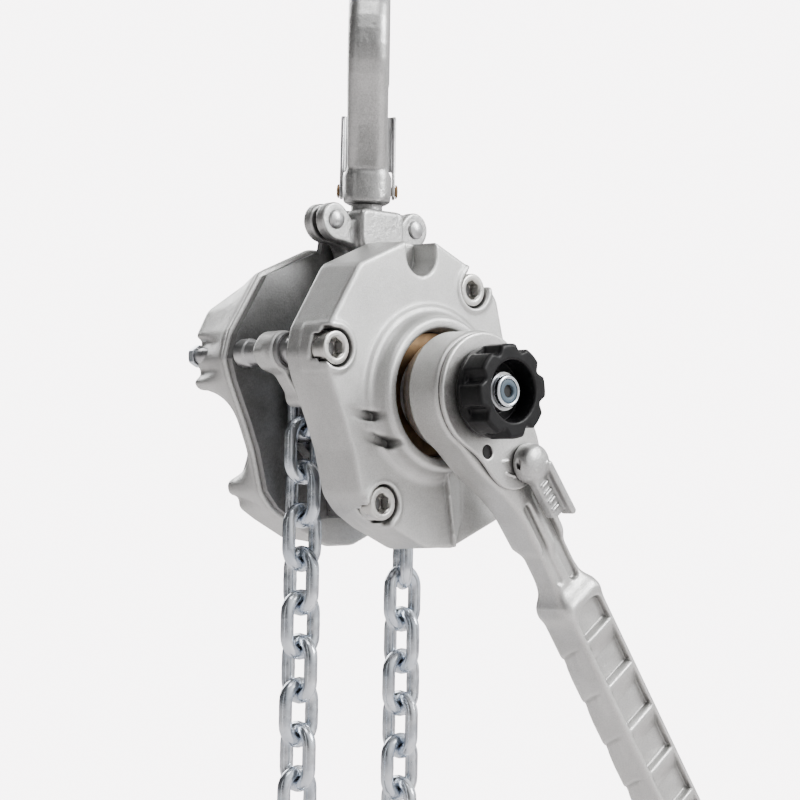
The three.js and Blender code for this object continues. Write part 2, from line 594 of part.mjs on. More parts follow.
function hookBody() {
  const shape = new THREE.Shape(hookOutline().map(([x, z]) => new THREE.Vector2(x, z)));
  const bevel = 3;
  const geometry = new THREE.ExtrudeGeometry(shape, { depth: 2 * (HOOK_HALF - bevel), bevelEnabled: true,
    bevelSize: bevel, bevelOffset: -bevel, bevelThickness: bevel, bevelSegments: 1 });
  geometry.rotateX(Math.PI / 2);
  geometry.translate(0, HOOK_HALF - bevel, 0);
  const round = [post(0, COLLAR_R, 0, 12, 16), post(0, STEM_R, -STEM_L - 1, 1, 12),
    post(0, BUTTON_R, -STEM_L - BUTTON_H, -STEM_L, 16)];
  return joinAll([toSolid(geometry), ...round]).subtract(bar(...LATCH_PIVOT, 2.6, -20, 20, 12));
}

const latchBolt = () => bar(...LATCH_PIVOT, 2.3, -14.8, 14.8, 12);

// A sheet latch with a cheek on each side of the shank and a tongue that shuts the throat.
function hookLatch() {
  const [x, z] = LATCH_PIVOT;
  const cheek = [[x - 5, z - 4], [x + 5, z - 4], [x + 11, 46], [x + 3, 46], [x - 5, z + 6]];
  const tongue = [[x + 5.5, 18], [x + 8, 18], [x + 11, 46], [x + 8, 46]];
  const hollow = prism([[-30, -20], [60, -20], [60, 70], [-30, 70]], -12.2, 12.2);
  return prism(cheek, -13.8, 13.8).subtract(hollow).add(prism(tongue, -13, 13))
    .subtract(bar(x, z, 2.6, -20, 20, 12));
}

const EAR_SPOT = [26.5, 85.5];
const YOKE_TOP_Z = 92.5;
const YOKE_HALF_DEPTH = 13;
const EAR = [1.5, 7.5];

// The half of the top yoke on the +Y side; its twin is turned half round about Z.
function yokeHalf() {
  const block = [...arcPoints(0, PIN_Z, 10.5, 180, 360, 8), [10.5, 70], [14.3, 74], [14.3, YOKE_TOP_Z - 1.5],
    [7, YOKE_TOP_Z], [-7, YOKE_TOP_Z], [-14.3, YOKE_TOP_Z - 1.5], [-14.3, 74], [-10.5, 70]];
  const ear = (side) => prism([...arcPoints(side * EAR_SPOT[0], EAR_SPOT[1], 8.5, 90, 90 + side * -150, 7),
    [side * 13.5, 71.5], [side * 13.5, YOKE_TOP_Z - 1.5]], ...EAR);
  const cuts = [bar(0, PIN_Z, PIN_R + GAP, -20, 20, 20), post(0, STEM_R + 2 * GAP, 80, 100, 16),
    post(0, BUTTON_R + 2 * GAP, 77.3, 85.3, 16),
    ...[1, -1].map((side) => bar(side * EAR_SPOT[0], EAR_SPOT[1], 3.3, 0, 10, 12))];
  return cutAll(joinAll([prism(block, GAP / 2, YOKE_HALF_DEPTH), ear(1), ear(-1)]), cuts);
}

function yokeRivet(side) {
  const profile = [[0, -9.6], [3, -9.3], [4.4, -8.4], [4.6, -7.8], [3, -7.8], [3, 7.8], [4.6, 7.8], [4.4, 8.4],
    [3, 9.3], [0, 9.6]];
  return turned(profile, 12).translate([side * EAR_SPOT[0], 0, EAR_SPOT[1]]);
}

const CHAIN_PIN_R = 3.2;
const CHAIN_PIN_Z = LOAD_END_Z - LINK_PITCH / 2 + 0.45 + CHAIN_PIN_R;
const BOTTOM_COLLAR_Z = CHAIN_PIN_Z - 36.5;

// The half of the bottom yoke on the +X side: a cheek beside the last link, and half the hook's socket.
function bottomYokeHalf() {
  const top = CHAIN_PIN_Z + 8;
  const foot = BOTTOM_COLLAR_Z + GAP;
  const outline = [[-9, top], [9, top], [13.5, CHAIN_PIN_Z - 8], [14.3, foot + 5], [12, foot], [-12, foot],
    [-14.3, foot + 5], [-13.5, CHAIN_PIN_Z - 8]];
  const half = prism(outline, GAP / 2, 13);
  const slot = box(-20, 20, -1, 4.1, CHAIN_PIN_Z, top + 1).add(bar(0, CHAIN_PIN_Z, 13, -1, 4.1, 16));
  const socketZ = BOTTOM_COLLAR_Z + STEM_L;
  const cuts = [slot, post(0, STEM_R + 2 * GAP, foot - 1, socketZ + 1, 16),
    bar(0, CHAIN_PIN_Z, CHAIN_PIN_R + GAP, 0, 20, 12),
    post(0, BUTTON_R + 2 * GAP, socketZ - GAP, socketZ + BUTTON_H + GAP, 16)];
  return cutAll(half, cuts).rotate([0, 0, -90]);
}

function chainPin() {
  const profile = [[0, -14], [4.6, -13.9], [4.6, -13.3], [CHAIN_PIN_R, -13.3], [CHAIN_PIN_R, 13.3],
    [4.6, 13.3], [4.6, 13.9], [0, 14]];
  return turned(profile, 12).rotate([0, 0, 90]).translate([0, 0, CHAIN_PIN_Z]);
}

// ---------- assembly ----------
const FRONT_INNER = [-38.3, -35.6];
const FRONT_OUTER = [-44.7, -42.2];
const handed = (solid, side) => (side > 0 ? solid : turnedHalf(solid));
const turnedAboutZ = (solid) => solid.rotate([0, 0, 180]);

function addHousing() {
  place(housing, 'brake_cover', brakeCover(), PAINT());
  place(housing, 'gear_cover', gearCover(), PAINT());
  place(housing, 'brake_side_plate', brakeSidePlate(), PAINT());
  place(housing, 'gear_side_plate', gearSidePlate(), PAINT());
  for (const [name, spot] of Object.entries(SCREW_SPOTS)) {
    const endY = STAY_NAMES.includes(name) ? -17 : FRONT_BACK_Y;
    place(housing, `cover_screw_${name}`, coverScrew(spot, endY), STEEL());
  }
  for (const name of STAY_NAMES) {
    place(housing, `stay_bolt_${name}`, stayBolt(SCREW_SPOTS[name]), STEEL());
    place(housing, `stay_nut_${name}`, stayNut(SCREW_SPOTS[name]), STEEL());
  }
  place(housing, 'suspension_pin', suspensionPin(), STEEL());
  place(housing, 'chain_guide', chainGuide(), PAINT());
  place(housing, 'chain_stripper', chainStripper(), STEEL());
  place(housing, 'sheave_bearing_front', sheaveBearing(FRONT_PLATE), BRONZE());
  place(housing, 'sheave_bearing_rear', sheaveBearing(REAR_PLATE), BRONZE());
}

function addDrive() {
  place(hoist, 'load_sheave', loadSheave(), STEEL());
  place(hoist, 'load_gear', loadGear(), STEEL());
  place(hoist, 'pinion_shaft', pinionShaft(), STEEL());
  place(hoist, 'intermediate_gear_upper', intermediateGear(1), STEEL());
  place(hoist, 'intermediate_gear_lower', intermediateGear(-1), STEEL());
}

function addBrake() {
  place(hoist, 'disc_hub', discHub(), STEEL());
  place(hoist, 'friction_disc_inner', frictionDisc(...FRONT_INNER), FRICTION());
  place(hoist, 'friction_disc_outer', frictionDisc(...FRONT_OUTER), FRICTION());
  place(housing, 'ratchet_disc', ratchetDisc(), STEEL());
  for (const [name, side] of [['upper', 1], ['lower', -1]]) {
    place(housing, `brake_pawl_${name}`, handed(brakePawl(), side), STEEL());
    place(housing, `pawl_stud_${name}`, handed(pawlStud(), side), STEEL());
  }
}

function addLever() {
  place(lever, 'lever_housing', leverHousing(), PAINT());
  place(lever, 'lever_front_plate', leverFrontPlate(), PAINT());
  place(lever, 'change_gear', changeGear(), STEEL());
  place(lever, 'change_pawl', changePawl(), STEEL());
  place(lever, 'selector', selector(), FORGED());
  place(hoist, 'handwheel', handwheel(), PLASTIC());
  place(hoist, 'retaining_nut', retainingNut(), ZINC());
}

function addTopHook() {
  topHook.position.z = COLLAR_Z;
  place(topHook, 'top_hook', hookBody(), FORGED());
  place(topHook, 'top_latch', hookLatch(), ZINC());
  place(topHook, 'top_latch_bolt', latchBolt(), STEEL());
  place(yoke, 'top_yoke_rear', yokeHalf(), FORGED());
  place(yoke, 'top_yoke_front', turnedAboutZ(yokeHalf()), FORGED());
  place(yoke, 'yoke_rivet_left', yokeRivet(-1), STEEL());
  place(yoke, 'yoke_rivet_right', yokeRivet(1), STEEL());
}

function addChain() {
  place(hoist, 'wrapped_chain', wrappedChain(), ZINC());
  place(hoist, 'load_transit_link', loadTransit(), ZINC());
  place(hoist, 'slack_transit_link', slackTransit(), ZINC());
  place(hoist, 'load_chain', loadFall(), ZINC());
  place(hoist, 'slack_chain', slackFall(), ZINC());
  place(hoist, 'slack_end_ring', slackEndRing(), ZINC());
}

function addBottomHook() {
  const block = new THREE.Group();
  block.position.x = -LEAVE_X;
  const hook = new THREE.Group();
  hook.position.z = BOTTOM_COLLAR_Z;
  hook.rotation.set(Math.PI, 0, HOOK_TURN);
  block.add(hook);
  hoist.add(block);
  place(block, 'bottom_yoke_right', bottomYokeHalf(), FORGED());
  place(block, 'bottom_yoke_left', turnedAboutZ(bottomYokeHalf()), FORGED());
  place(block, 'chain_pin', chainPin(), STEEL());
  place(hook, 'bottom_hook', hookBody(), FORGED());
  place(hook, 'bottom_latch', hookLatch(), ZINC());
  place(hook, 'bottom_latch_bolt', latchBolt(), STEEL());
}

hoist.position.set(-HOOK_X, 0, -SADDLE_Z);
addHousing();
addDrive();
addBrake();
addLever();
addTopHook();
addChain();
addBottomHook();

export default hoist;
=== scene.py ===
import json
import math
from itertools import product

import bmesh
import bpy
import numpy as np
from mathutils import Matrix, Vector


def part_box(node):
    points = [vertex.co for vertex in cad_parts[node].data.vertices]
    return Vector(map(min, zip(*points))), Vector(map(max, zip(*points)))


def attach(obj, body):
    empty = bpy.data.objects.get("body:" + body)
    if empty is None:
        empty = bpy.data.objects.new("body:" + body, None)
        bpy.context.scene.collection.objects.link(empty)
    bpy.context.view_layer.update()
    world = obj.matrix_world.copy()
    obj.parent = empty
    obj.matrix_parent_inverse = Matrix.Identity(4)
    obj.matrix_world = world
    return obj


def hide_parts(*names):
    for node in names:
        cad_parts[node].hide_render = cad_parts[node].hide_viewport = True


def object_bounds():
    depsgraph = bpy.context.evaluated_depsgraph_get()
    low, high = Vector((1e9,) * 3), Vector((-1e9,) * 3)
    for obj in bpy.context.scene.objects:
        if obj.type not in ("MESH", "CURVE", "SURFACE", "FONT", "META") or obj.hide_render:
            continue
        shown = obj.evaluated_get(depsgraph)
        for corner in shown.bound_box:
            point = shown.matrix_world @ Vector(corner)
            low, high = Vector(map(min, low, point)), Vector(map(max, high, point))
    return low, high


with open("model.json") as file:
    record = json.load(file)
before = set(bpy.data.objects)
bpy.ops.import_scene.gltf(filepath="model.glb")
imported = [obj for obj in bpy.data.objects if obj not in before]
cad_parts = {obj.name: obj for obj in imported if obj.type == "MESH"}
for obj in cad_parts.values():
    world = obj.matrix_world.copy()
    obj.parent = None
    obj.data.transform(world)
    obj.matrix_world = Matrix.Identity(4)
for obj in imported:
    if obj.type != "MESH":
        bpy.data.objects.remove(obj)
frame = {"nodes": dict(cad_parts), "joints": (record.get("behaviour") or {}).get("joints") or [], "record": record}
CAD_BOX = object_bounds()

# Pieces are drawn in millimetres, in one of the frames below, which scale them to metres.
# Materials, lights and the camera are in metres. The lever is on the -Y side.
MM = 0.001
JOINTS = {joint["name"]: joint for joint in frame["joints"]}


def joint_spot(name):
    return Vector(JOINTS[name]["pos_m"])


def scaled_frame(spot, *turns):
    """A frame at a spot in metres, whose own lengths are millimetres."""
    matrix = Matrix.Translation(spot)
    for degrees, axis in turns:
        matrix = matrix @ Matrix.Rotation(math.radians(degrees), 4, axis)
    return matrix @ Matrix.Scale(MM, 4)


SHEAVE = joint_spot("sheave_turn")
BODY_TILT = -3.5
LEVER_TILT = -36
HOOK_TURN = 47

# A hook's own frame starts at the collar's underside. The saddle is the flat facet that ends the bowl.
BOWL = (0, 73)
BOWL_R = 20
HALF_FACET = 15
COLLAR_BELOW_SADDLE = BOWL[1] + BOWL_R * math.cos(math.radians(HALF_FACET))
COLLAR_BELOW_SWIVEL = 15

PLAIN = scaled_frame(SHEAVE)
HOUSING = scaled_frame(SHEAVE, (BODY_TILT, "Y"))
LEVER = scaled_frame(SHEAVE, (LEVER_TILT, "Y"))
YOKE = scaled_frame(Vector((0, 0, SHEAVE.z)))
TOP_HOOK = scaled_frame(Vector((0, 0, -COLLAR_BELOW_SADDLE * MM)), (HOOK_TURN, "Z"))

BOTTOM_PIN = joint_spot("bottom_yoke_swing")
BOTTOM_COLLAR = joint_spot("bottom_hook_swivel") - Vector((0, 0, COLLAR_BELOW_SWIVEL * MM))
BOTTOM_HOOK = scaled_frame(BOTTOM_COLLAR, (180, "X"), (HOOK_TURN, "Z"))
BOTTOM_YOKE = scaled_frame(BOTTOM_PIN)

# Depths along Y.
KNOB_FRONT = -108.2
LEVER_FACE = -90
PLATE_BACK = -87.3
LEVER_REAR = -67.7
BOSS_RIM = -63.1
COVER_FACE = -53.6
BOSS_ROOT = -50
COVER_BACK = -26.5
GEAR_COVER_FRONT = 18.8
GEAR_COVER_BACK = 50

# The housing seen from the lever side: X to the right and Z up, from the sheave's axis.
SCREWS = {"upper_left": (-58.8, 22.2), "upper_right": (30.7, 50.4), "lower_right": (58.8, -22.2),
          "lower_left": (-32.5, -50.6)}
STAYS = ("upper_left", "upper_right", "lower_right")
COVER_DRAFT = 0.035
SCREW_HEAD_R = 8
POCKET_R = 9.1
DENTS = (((-53, -7.2), (-38, -10)), ((-47, -17), (-29.5, -23)))

# The lever hangs along -Z from the sheave's axis.
LEVER_LENGTH = 365
LEVER_HEAD_R = 29
SELECTOR_AXIS = (3, -42)
PLATE_HOLE = (-14.6, -23.6)
GRIP_START = 116
GRIP_HALF = 13
FIRST_RIB = -138
RIB_SPACING = 27
PANEL_DEPTH = 3.8
RIB_HEIGHT = 3.6
RIB_CREST = 1.3
CHANNEL_HALF = 9.8
CHANNEL_DEPTH = 13
WEBS = 9
SCALLOP_DEPTH = 2.3
KNOB_R = 22
LOBES = 8
FLUTE_DEPTH = 3.0

# Hooks and yokes.
LATCH_PIVOT = (9, 7)
LATCH_BORE_R = 2.6
STEM_BORE_R = 8.4
STEM_HEAD_BORE_R = 11.4
EAR_X = 26.5
EAR_Z = 85.5

# The 7.1 mm chain, drawn a little thin so that neighbours stay clear. Ten links go round the sheave.
WIRE_R = 3.25
WRAPPED_R = 3.2
LOAD_LEAVING_R = 2.9
SLACK_LEAVING_R = 2.3
WELD_SWELL = 1.03
LINK_HALF = 11.5
PITCH = 21
LINK_TURN = 36
CHAIN_PHASE = 10.2
LOAD_LINKS = 10
SLACK_LINKS = 11
WRAPPED_LINKS = 4
BEND_STEPS = 12
TUBE_SIDES = 14
RING_R = 13
RING_WIRE_R = 2.55
RING_STEPS = 56

# Meshing: the grid cell of the largest pieces, the radius that counts as on the axis, and the largest
# angle between two faces that is shaded smooth.
COARSE = 0.85
ON_AXIS = 1e-6
CREASE_DEGREES = 35


def polar(radius, degrees):
    angle = math.radians(degrees)
    return radius * math.cos(angle), radius * math.sin(angle)


def arc(radius, start, end, steps, centre=(0, 0)):
    """Points along an arc from one angle in degrees to another."""
    points = [polar(radius, start + (end - start) * i / steps) for i in range(steps + 1)]
    return [(centre[0] + u, centre[1] + v) for u, v in points]


def hexagon(radius):
    return [polar(radius, 60 * i + 30) for i in range(6)]


def half_turn(points):
    return points + [(-x, -z) for x, z in points]


# Half of each outline is listed. The other half is the same, half a turn round.
OUTLINE = half_turn([(-12, 74.5), (-44, 62.5), (-64.5, 33), (-68.3, 20.5), (-65.5, 10), (-57, -11),
                     (-52, -25), (-47.5, -46), (-41, -54.5), (-29, -62.5), (-6, -74)])
REAR_OUTLINE = half_turn([(-6, 70), (-19.6, 63.8), (-52.9, 44.8), (-60.9, 31.7), (-56.6, 29.2), (-61.9, 20.6),
                          (-57.8, 13.6), (-63, 9.6), (-60, 5.6), (-45.3, 4.4), (-39, -1.8), (-33, -15),
                          (-30, -26.4), (-33.6, -35.4), (-43.5, -40), (-43, -46.1), (-36.7, -48.1),
                          (-36.3, -53.4), (-27.5, -59.3), (-8.2, -70.2)])


# ---------- distance fields: arrays of signed distance, negative inside ----------
def grid(low, high, cell):
    axes = [np.arange(a - 3 * cell, b + 3.5 * cell, cell) for a, b in zip(low, high)]
    return np.meshgrid(*axes, indexing="ij", sparse=True), axes


def outline_field(u, v, points):
    inside = np.zeros(np.broadcast(u, v).shape, bool)
    nearest = np.full(inside.shape, np.inf)
    for (au, av), (bu, bv) in zip(points, points[1:] + points[:1]):
        eu, ev = bu - au, bv - av
        wu, wv = u - au, v - av
        share = np.clip((wu * eu + wv * ev) / (eu * eu + ev * ev), 0, 1)
        nearest = np.minimum(nearest, (wu - eu * share) ** 2 + (wv - ev * share) ** 2)
        if ev:
            inside ^= ((av > v) != (bv > v)) & (wu < eu * wv / ev)
    return np.where(inside, -1, 1) * np.sqrt(nearest)


def slab(y, low, high):
    return np.maximum(low - y, y - high)


def rounded_both(a, b, radius):
    """Where both fields are inside, with the edge between them rounded."""
    p, q = a + radius, b + radius
    outside = np.sqrt(np.maximum(p, 0) ** 2 + np.maximum(q, 0) ** 2)
    return outside + np.minimum(np.maximum(p, q), 0) - radius


def join(a, b, blend=0.01):
    fillet = np.maximum(blend - np.abs(a - b), 0) / blend
    return np.minimum(a, b) - fillet * fillet * blend / 4


def cut(a, b, blend=0.01):
    return -join(-a, b, blend)


def disc(x, z, spot, radius):
    return np.hypot(x - spot[0], z - spot[1]) - radius


def stadium(x, z, start, end, radius):
    """The distance to a straight stroke of the given radius."""
    ex, ez = end[0] - start[0], end[1] - start[1]
    wx, wz = x - start[0], z - start[1]
    share = np.clip((wx * ex + wz * ez) / (ex * ex + ez * ez), 0, 1)
    return np.hypot(wx - ex * share, wz - ez * share) - radius


def block(x, y, z, low, high, radius=0.5):
    flat = rounded_both(slab(x, low[0], high[0]), slab(z, low[2], high[2]), radius)
    return rounded_both(flat, slab(y, low[1], high[1]), radius)


def rounded(points, radius, steps=4):
    """An outline with its corners turned into curves."""
    result = []
    for before, here, after in zip(points[-1:] + points[:-1], points, points[1:] + points[:1]):
        here_v = Vector(here)
        to_before, to_after = Vector(before) - here_v, Vector(after) - here_v
        start = here_v + to_before.normalized() * min(radius, to_before.length * 0.45)
        end = here_v + to_after.normalized() * min(radius, to_after.length * 0.45)
        for i in range(steps + 1):
            t = i / steps
            result.append(tuple(start * (1 - t) ** 2 + here_v * 2 * t * (1 - t) + end * t * t))
    return result


def net(values, axes):
    """Vertices and quads of the field's zero surface: one vertex in each cell that the surface crosses."""
    inside = values < 0
    counts = np.array(values.shape) - 1
    total = sum(inside[i:i + counts[0], j:j + counts[1], k:k + counts[2]].astype(np.int8)
                for i, j, k in product((0, 1), repeat=3))
    active = (total > 0) & (total < 8)
    index = np.full(active.shape, -1)
    index[active] = np.arange(active.sum())
    cells = np.argwhere(active)
    places = np.zeros(cells.shape)
    crossings = np.zeros(len(cells))
    unit = np.eye(3, dtype=int)
    for axis in range(3):
        others = [unit[i] for i in range(3) if i != axis]
        for i, j in product((0, 1), repeat=2):
            start = cells + i * others[0] + j * others[1]
            a = values[tuple(start.T)]
            b = values[tuple((start + unit[axis]).T)]
            crossed = (a < 0) != (b < 0)
            share = np.where(crossed, a / np.where(crossed, a - b, 1), 0)
            places[crossed] += (start + share[:, None] * unit[axis])[crossed]
            crossings[crossed] += 1
    places /= crossings[:, None]
    origin = np.array([axis[0] for axis in axes])
    step = np.array([axis[1] - axis[0] for axis in axes])
    return origin + places * step, net_quads(inside, index, unit)


def net_quads(inside, index, unit):
    quads = []
    for axis in range(3):
        u, v = unit[(axis + 1) % 3], unit[(axis + 2) % 3]
        ends = [slice(None)] * 3
        ends[axis] = slice(1, None)
        starts = [slice(None)] * 3
        starts[axis] = slice(None, -1)
        first, second = inside[tuple(starts)], inside[tuple(ends)]
        spots = np.argwhere(first != second)
        corners = [spots - u - v, spots - v, spots, spots - u]
        faces = np.stack([index[tuple(corner.T)] for corner in corners], 1)
        outward = first[tuple(spots.T)]
        faces[~outward] = faces[~outward][:, ::-1]
        quads.append(faces)
    return np.concatenate(quads)


# ---------- pieces ----------
def piece(name, vertices, faces, matrix, body, material, nodes=()):
    mesh = bpy.data.meshes.new(name)
    mesh.from_pydata([tuple(v) for v in vertices], [], [tuple(int(i) for i in f) for f in faces])
    mesh.transform(matrix)
    mesh.validate()
    for polygon in mesh.polygons:
        polygon.use_smooth = True
    made = bpy.data.objects.new(name, mesh)
    bpy.context.scene.collection.objects.link(made)
    made.data.materials.append(material)
    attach(made, body)
    if nodes:
        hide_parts(*nodes)
    return made


def solid(name, values, axes, matrix, body, material, nodes=()):
    vertices, quads = net(values, axes)
    return piece(name, vertices, quads, matrix, body, material, nodes)


def turned(name, profile, matrix, body, material, nodes=(), segments=48, centre=(0, 0)):
    """A turned solid about the Y axis; the profile runs from the axis, or closes on itself."""
    vertices = []
    rings = []
    for radius, y in profile:
        if radius < ON_AXIS:
            rings.append([len(vertices)])
            vertices.append((centre[0], y, centre[1]))
            continue
        rings.append([len(vertices) + i for i in range(segments)])
        for i in range(segments):
            angle = 2 * math.pi * i / segments
            across, up = radius * math.cos(angle), radius * math.sin(angle)
            vertices.append((centre[0] + across, y, centre[1] + up))
    closed = profile[0][0] > ON_AXIS
    pairs = list(zip(rings, rings[1:] + rings[:1])) if closed else list(zip(rings, rings[1:]))
    faces = []
    for a, b in pairs:
        for i in range(segments):
            j = (i + 1) % segments
            corners = [a[i % len(a)], a[j % len(a)], b[j % len(b)], b[i % len(b)]]
            face = list(dict.fromkeys(corners))
            if len(face) > 2:
                faces.append(face)
    made = piece(name, vertices, faces, matrix, body, material, nodes)
    repair_normals(made.data)
    made.data.set_sharp_from_angle(angle=math.radians(CREASE_DEGREES))
    return made


def repair_normals(mesh):
    work = bmesh.new()
    work.from_mesh(mesh)
    bmesh.ops.recalc_face_normals(work, faces=work.faces)
    work.to_mesh(mesh)
    work.free()


def chamfered(profile, size=0.5):
    """A turning profile with its corners off."""
    result = [profile[0]]
    for before, here, after in zip(profile, profile[1:], profile[2:]):
        here_v = Vector(here)
        for other in (Vector(before) - here_v, Vector(after) - here_v):
            result.append(tuple(here_v + other.normalized() * min(size, other.length * 0.4)))
    return result + [profile[-1]]


# ---------- materials ----------
def new_material(name):
    material = bpy.data.materials.new(name)
    material.use_nodes = True
    tree = material.node_tree
    return material, tree, tree.nodes["Principled BSDF"]


def noise(tree, coordinates, scale, detail=4, roughness=0.55):
    node = tree.nodes.new("ShaderNodeTexNoise")
    node.inputs["Scale"].default_value = scale
    node.inputs["Detail"].default_value = detail
    node.inputs["Roughness"].default_value = roughness
    tree.links.new(coordinates, node.inputs["Vector"])
    return node.outputs["Fac"]


def ramp(tree, value, stops):
    node = tree.nodes.new("ShaderNodeValToRGB")
    node.color_ramp.elements[0].position = stops[0][0]
    node.color_ramp.elements[0].color = (*stops[0][1], 1)
    node.color_ramp.elements[1].position = stops[-1][0]
    node.color_ramp.elements[1].color = (*stops[-1][1], 1)
    for position, colour in stops[1:-1]:
        node.color_ramp.elements.new(position).color = (*colour, 1)
    tree.links.new(value, node.inputs["Fac"])
    return node.outputs["Color"]


def grey_ramp(tree, value, stops):
    """A ramp whose stops are (position, grey level)."""
    return ramp(tree, value, [(position, (level, level, level)) for position, level in stops])


def multiplied(tree, a, b):
    node = tree.nodes.new("ShaderNodeMix")
    node.data_type = "RGBA"
    node.blend_type = "MULTIPLY"
    node.inputs["Factor"].default_value = 1
    tree.links.new(a, node.inputs["A"])
    tree.links.new(b, node.inputs["B"])
    return node.outputs["Result"]


def painted_crevice_shade(tree):
    """Painted shade: darker where the surface is hemmed in."""
    shade = tree.nodes.new("ShaderNodeAmbientOcclusion")
    shade.samples = 6
    shade.inputs["Distance"].default_value = 0.009
    return grey_ramp(tree, shade.outputs["AO"], [(0.15, 0.5), (0.9, 1.0)])


def bump(tree, shader, height, strength, distance, after=None):
    node = tree.nodes.new("ShaderNodeBump")
    node.inputs["Strength"].default_value = strength
    node.inputs["Distance"].default_value = distance
    tree.links.new(height, node.inputs["Height"])
    if after:
        tree.links.new(after, node.inputs["Normal"])
    tree.links.new(node.outputs["Normal"], shader.inputs["Normal"])
    return node.outputs["Normal"]


def coordinates_of(tree):
    return tree.nodes.new("ShaderNodeTexCoord").outputs["Object"]


def edges_of(tree):
    return tree.nodes.new("ShaderNodeNewGeometry").outputs["Pointiness"]


def painted(name, dark, light, metallic, roughness, grain, pits=0.0):
    """Paint over a casting or forging: mottled tone, fine grain, edges lighter (wear and painted highlight),
    painted shade in creases and corners.
    """
    material, tree, shader = new_material(name)
    at = coordinates_of(tree)
    tone = ramp(tree, noise(tree, at, 38, 6), [(0.3, dark), (0.7, light)])
    speckle = grey_ramp(tree, noise(tree, at, grain * 1.2, 2, 0.8), [(0.34, 0.80), (0.62, 1.0)])
    tone = multiplied(tree, tone, speckle)
    # Convex edges lighter, part wear and part painted highlight; creases darker as painted shade.
    edge_wear_highlight_and_crease_shade = grey_ramp(tree, edges_of(tree), [(0.46, 0.5), (0.495, 0.82), (0.51, 0.84), (0.55, 1.0)])
    colour = multiplied(tree, multiplied(tree, tone, edge_wear_highlight_and_crease_shade), painted_crevice_shade(tree))
    tree.links.new(colour, shader.inputs["Base Color"])
    shader.inputs["Metallic"].default_value = metallic
    rough = grey_ramp(tree, noise(tree, at, 260, 3), [(0.3, roughness - 0.07), (0.7, roughness + 0.08)])
    tree.links.new(rough, shader.inputs["Roughness"])
    fine = bump(tree, shader, noise(tree, at, grain, 3, 0.65), 0.45, 0.00028)
    if pits:
        cells = tree.nodes.new("ShaderNodeTexVoronoi")
        cells.inputs["Scale"].default_value = 240
        tree.links.new(at, cells.inputs["Vector"])
        holes = grey_ramp(tree, cells.outputs["Distance"], [(0.1, 0.0), (0.42, 1.0)])
        bump(tree, shader, holes, pits, 0.00025, fine)
    return material


def plated(name, tint, deep, roughness):
    """Bright plate with a faint colour drift and a fine grain."""
    material, tree, shader = new_material(name)
    at = coordinates_of(tree)
    tone = ramp(tree, noise(tree, at, 90, 5), [(0.32, deep), (0.66, tint)])
    tree.links.new(tone, shader.inputs["Base Color"])
    shader.inputs["Metallic"].default_value = 1.0
    rough = grey_ramp(tree, noise(tree, at, 420, 4), [(0.3, roughness), (0.75, roughness + 0.16)])
    tree.links.new(rough, shader.inputs["Roughness"])
    bump(tree, shader, noise(tree, at, 700, 4), 0.22, 0.00012)
    return material


def moulded(name, colour, roughness, scale=900, shine=0.5):
    """Plastic, rubber or lining with a fine grain."""
    material, tree, shader = new_material(name)
    shader.inputs["Specular IOR Level"].default_value = shine
    at = coordinates_of(tree)
    lighter = tuple(c * 1.7 + 0.003 for c in colour)
    tone = ramp(tree, noise(tree, at, 60, 5), [(0.3, colour), (0.75, lighter)])
    tree.links.new(tone, shader.inputs["Base Color"])
    rough = grey_ramp(tree, noise(tree, at, 300, 4), [(0.3, roughness - 0.06), (0.7, roughness + 0.1)])
    tree.links.new(rough, shader.inputs["Roughness"])
    bump(tree, shader, noise(tree, at, scale, 3), 0.35, 0.00012)
    return material


CASTING = painted("cast_paint", (0.66, 0.66, 0.65), (0.80, 0.80, 0.785), 0.8, 0.42, 1500)
LEVER_CASTING = painted("lever_paint", (0.68, 0.675, 0.66), (0.82, 0.815, 0.80), 0.85, 0.36, 1300)
FORGED = painted("forged_paint", (0.56, 0.56, 0.555), (0.72, 0.72, 0.71), 0.88, 0.35, 900, 0.3)
# A darker copy of the cast paint for the casting slot's CAD parts, the socket floors and the guide's bush: painted
# shade.
INSIDE_SHADE = painted("inside_shade_paint", (0.24, 0.24, 0.24), (0.34, 0.34, 0.34), 0.75, 0.4, 900)
ZINC = plated("zinc_plate", (0.80, 0.83, 0.87), (0.55, 0.60, 0.67), 0.14)
STEEL = plated("machined_steel", (0.62, 0.62, 0.62), (0.42, 0.42, 0.43), 0.26)
SCREW_STEEL = plated("screw_steel", (0.74, 0.73, 0.70), (0.52, 0.51, 0.49), 0.24)
BRONZE = plated("bronze", (0.34, 0.22, 0.12), (0.17, 0.11, 0.06), 0.4)
BLACK = moulded("black_moulding", (0.002, 0.002, 0.0025), 0.36, 900, 0.22)
LINING = moulded("brake_lining", (0.10, 0.07, 0.05), 0.85, 1500)
INSERT = moulded("blue_insert", (0.05, 0.075, 0.10), 0.42)
# Near-black for discs set at the bottom of holes: painted shade.
HOLE_SHADE = moulded("painted_hole_shade", (0.006, 0.006, 0.006), 0.7)


# ---------- housing ----------
def brake_cover():
    (x, y, z), axes = grid((-70, -64, -77), (70, COVER_BACK, 77), COARSE)
    draft = (COVER_BACK - y) * COVER_DRAFT
    flat = outline_field(x, z, rounded(OUTLINE, 2.6)) + draft
    body = rounded_both(flat, slab(y, COVER_FACE, COVER_BACK), 1.5)
    body = add_boss(body, np.hypot(x, z), y)
    for spot in SCREWS.values():
        body = cut_screw_pocket(body, x, y, z, spot, flat)
    notch = stadium(x, z, (-3.8, 66), (-3.8, 90), 9.6)
    body = cut(body, np.maximum(notch, y - COVER_FACE - 16), 0.7)
    for start, end in DENTS:
        body = cut(body, dent(x, y, z, start, end), 1.3)
    body = join(body, wedge(x, y, z), 0.8)
    solid("brake_cover_casting", body, axes, HOUSING, "housing", CASTING, ["brake_cover"])


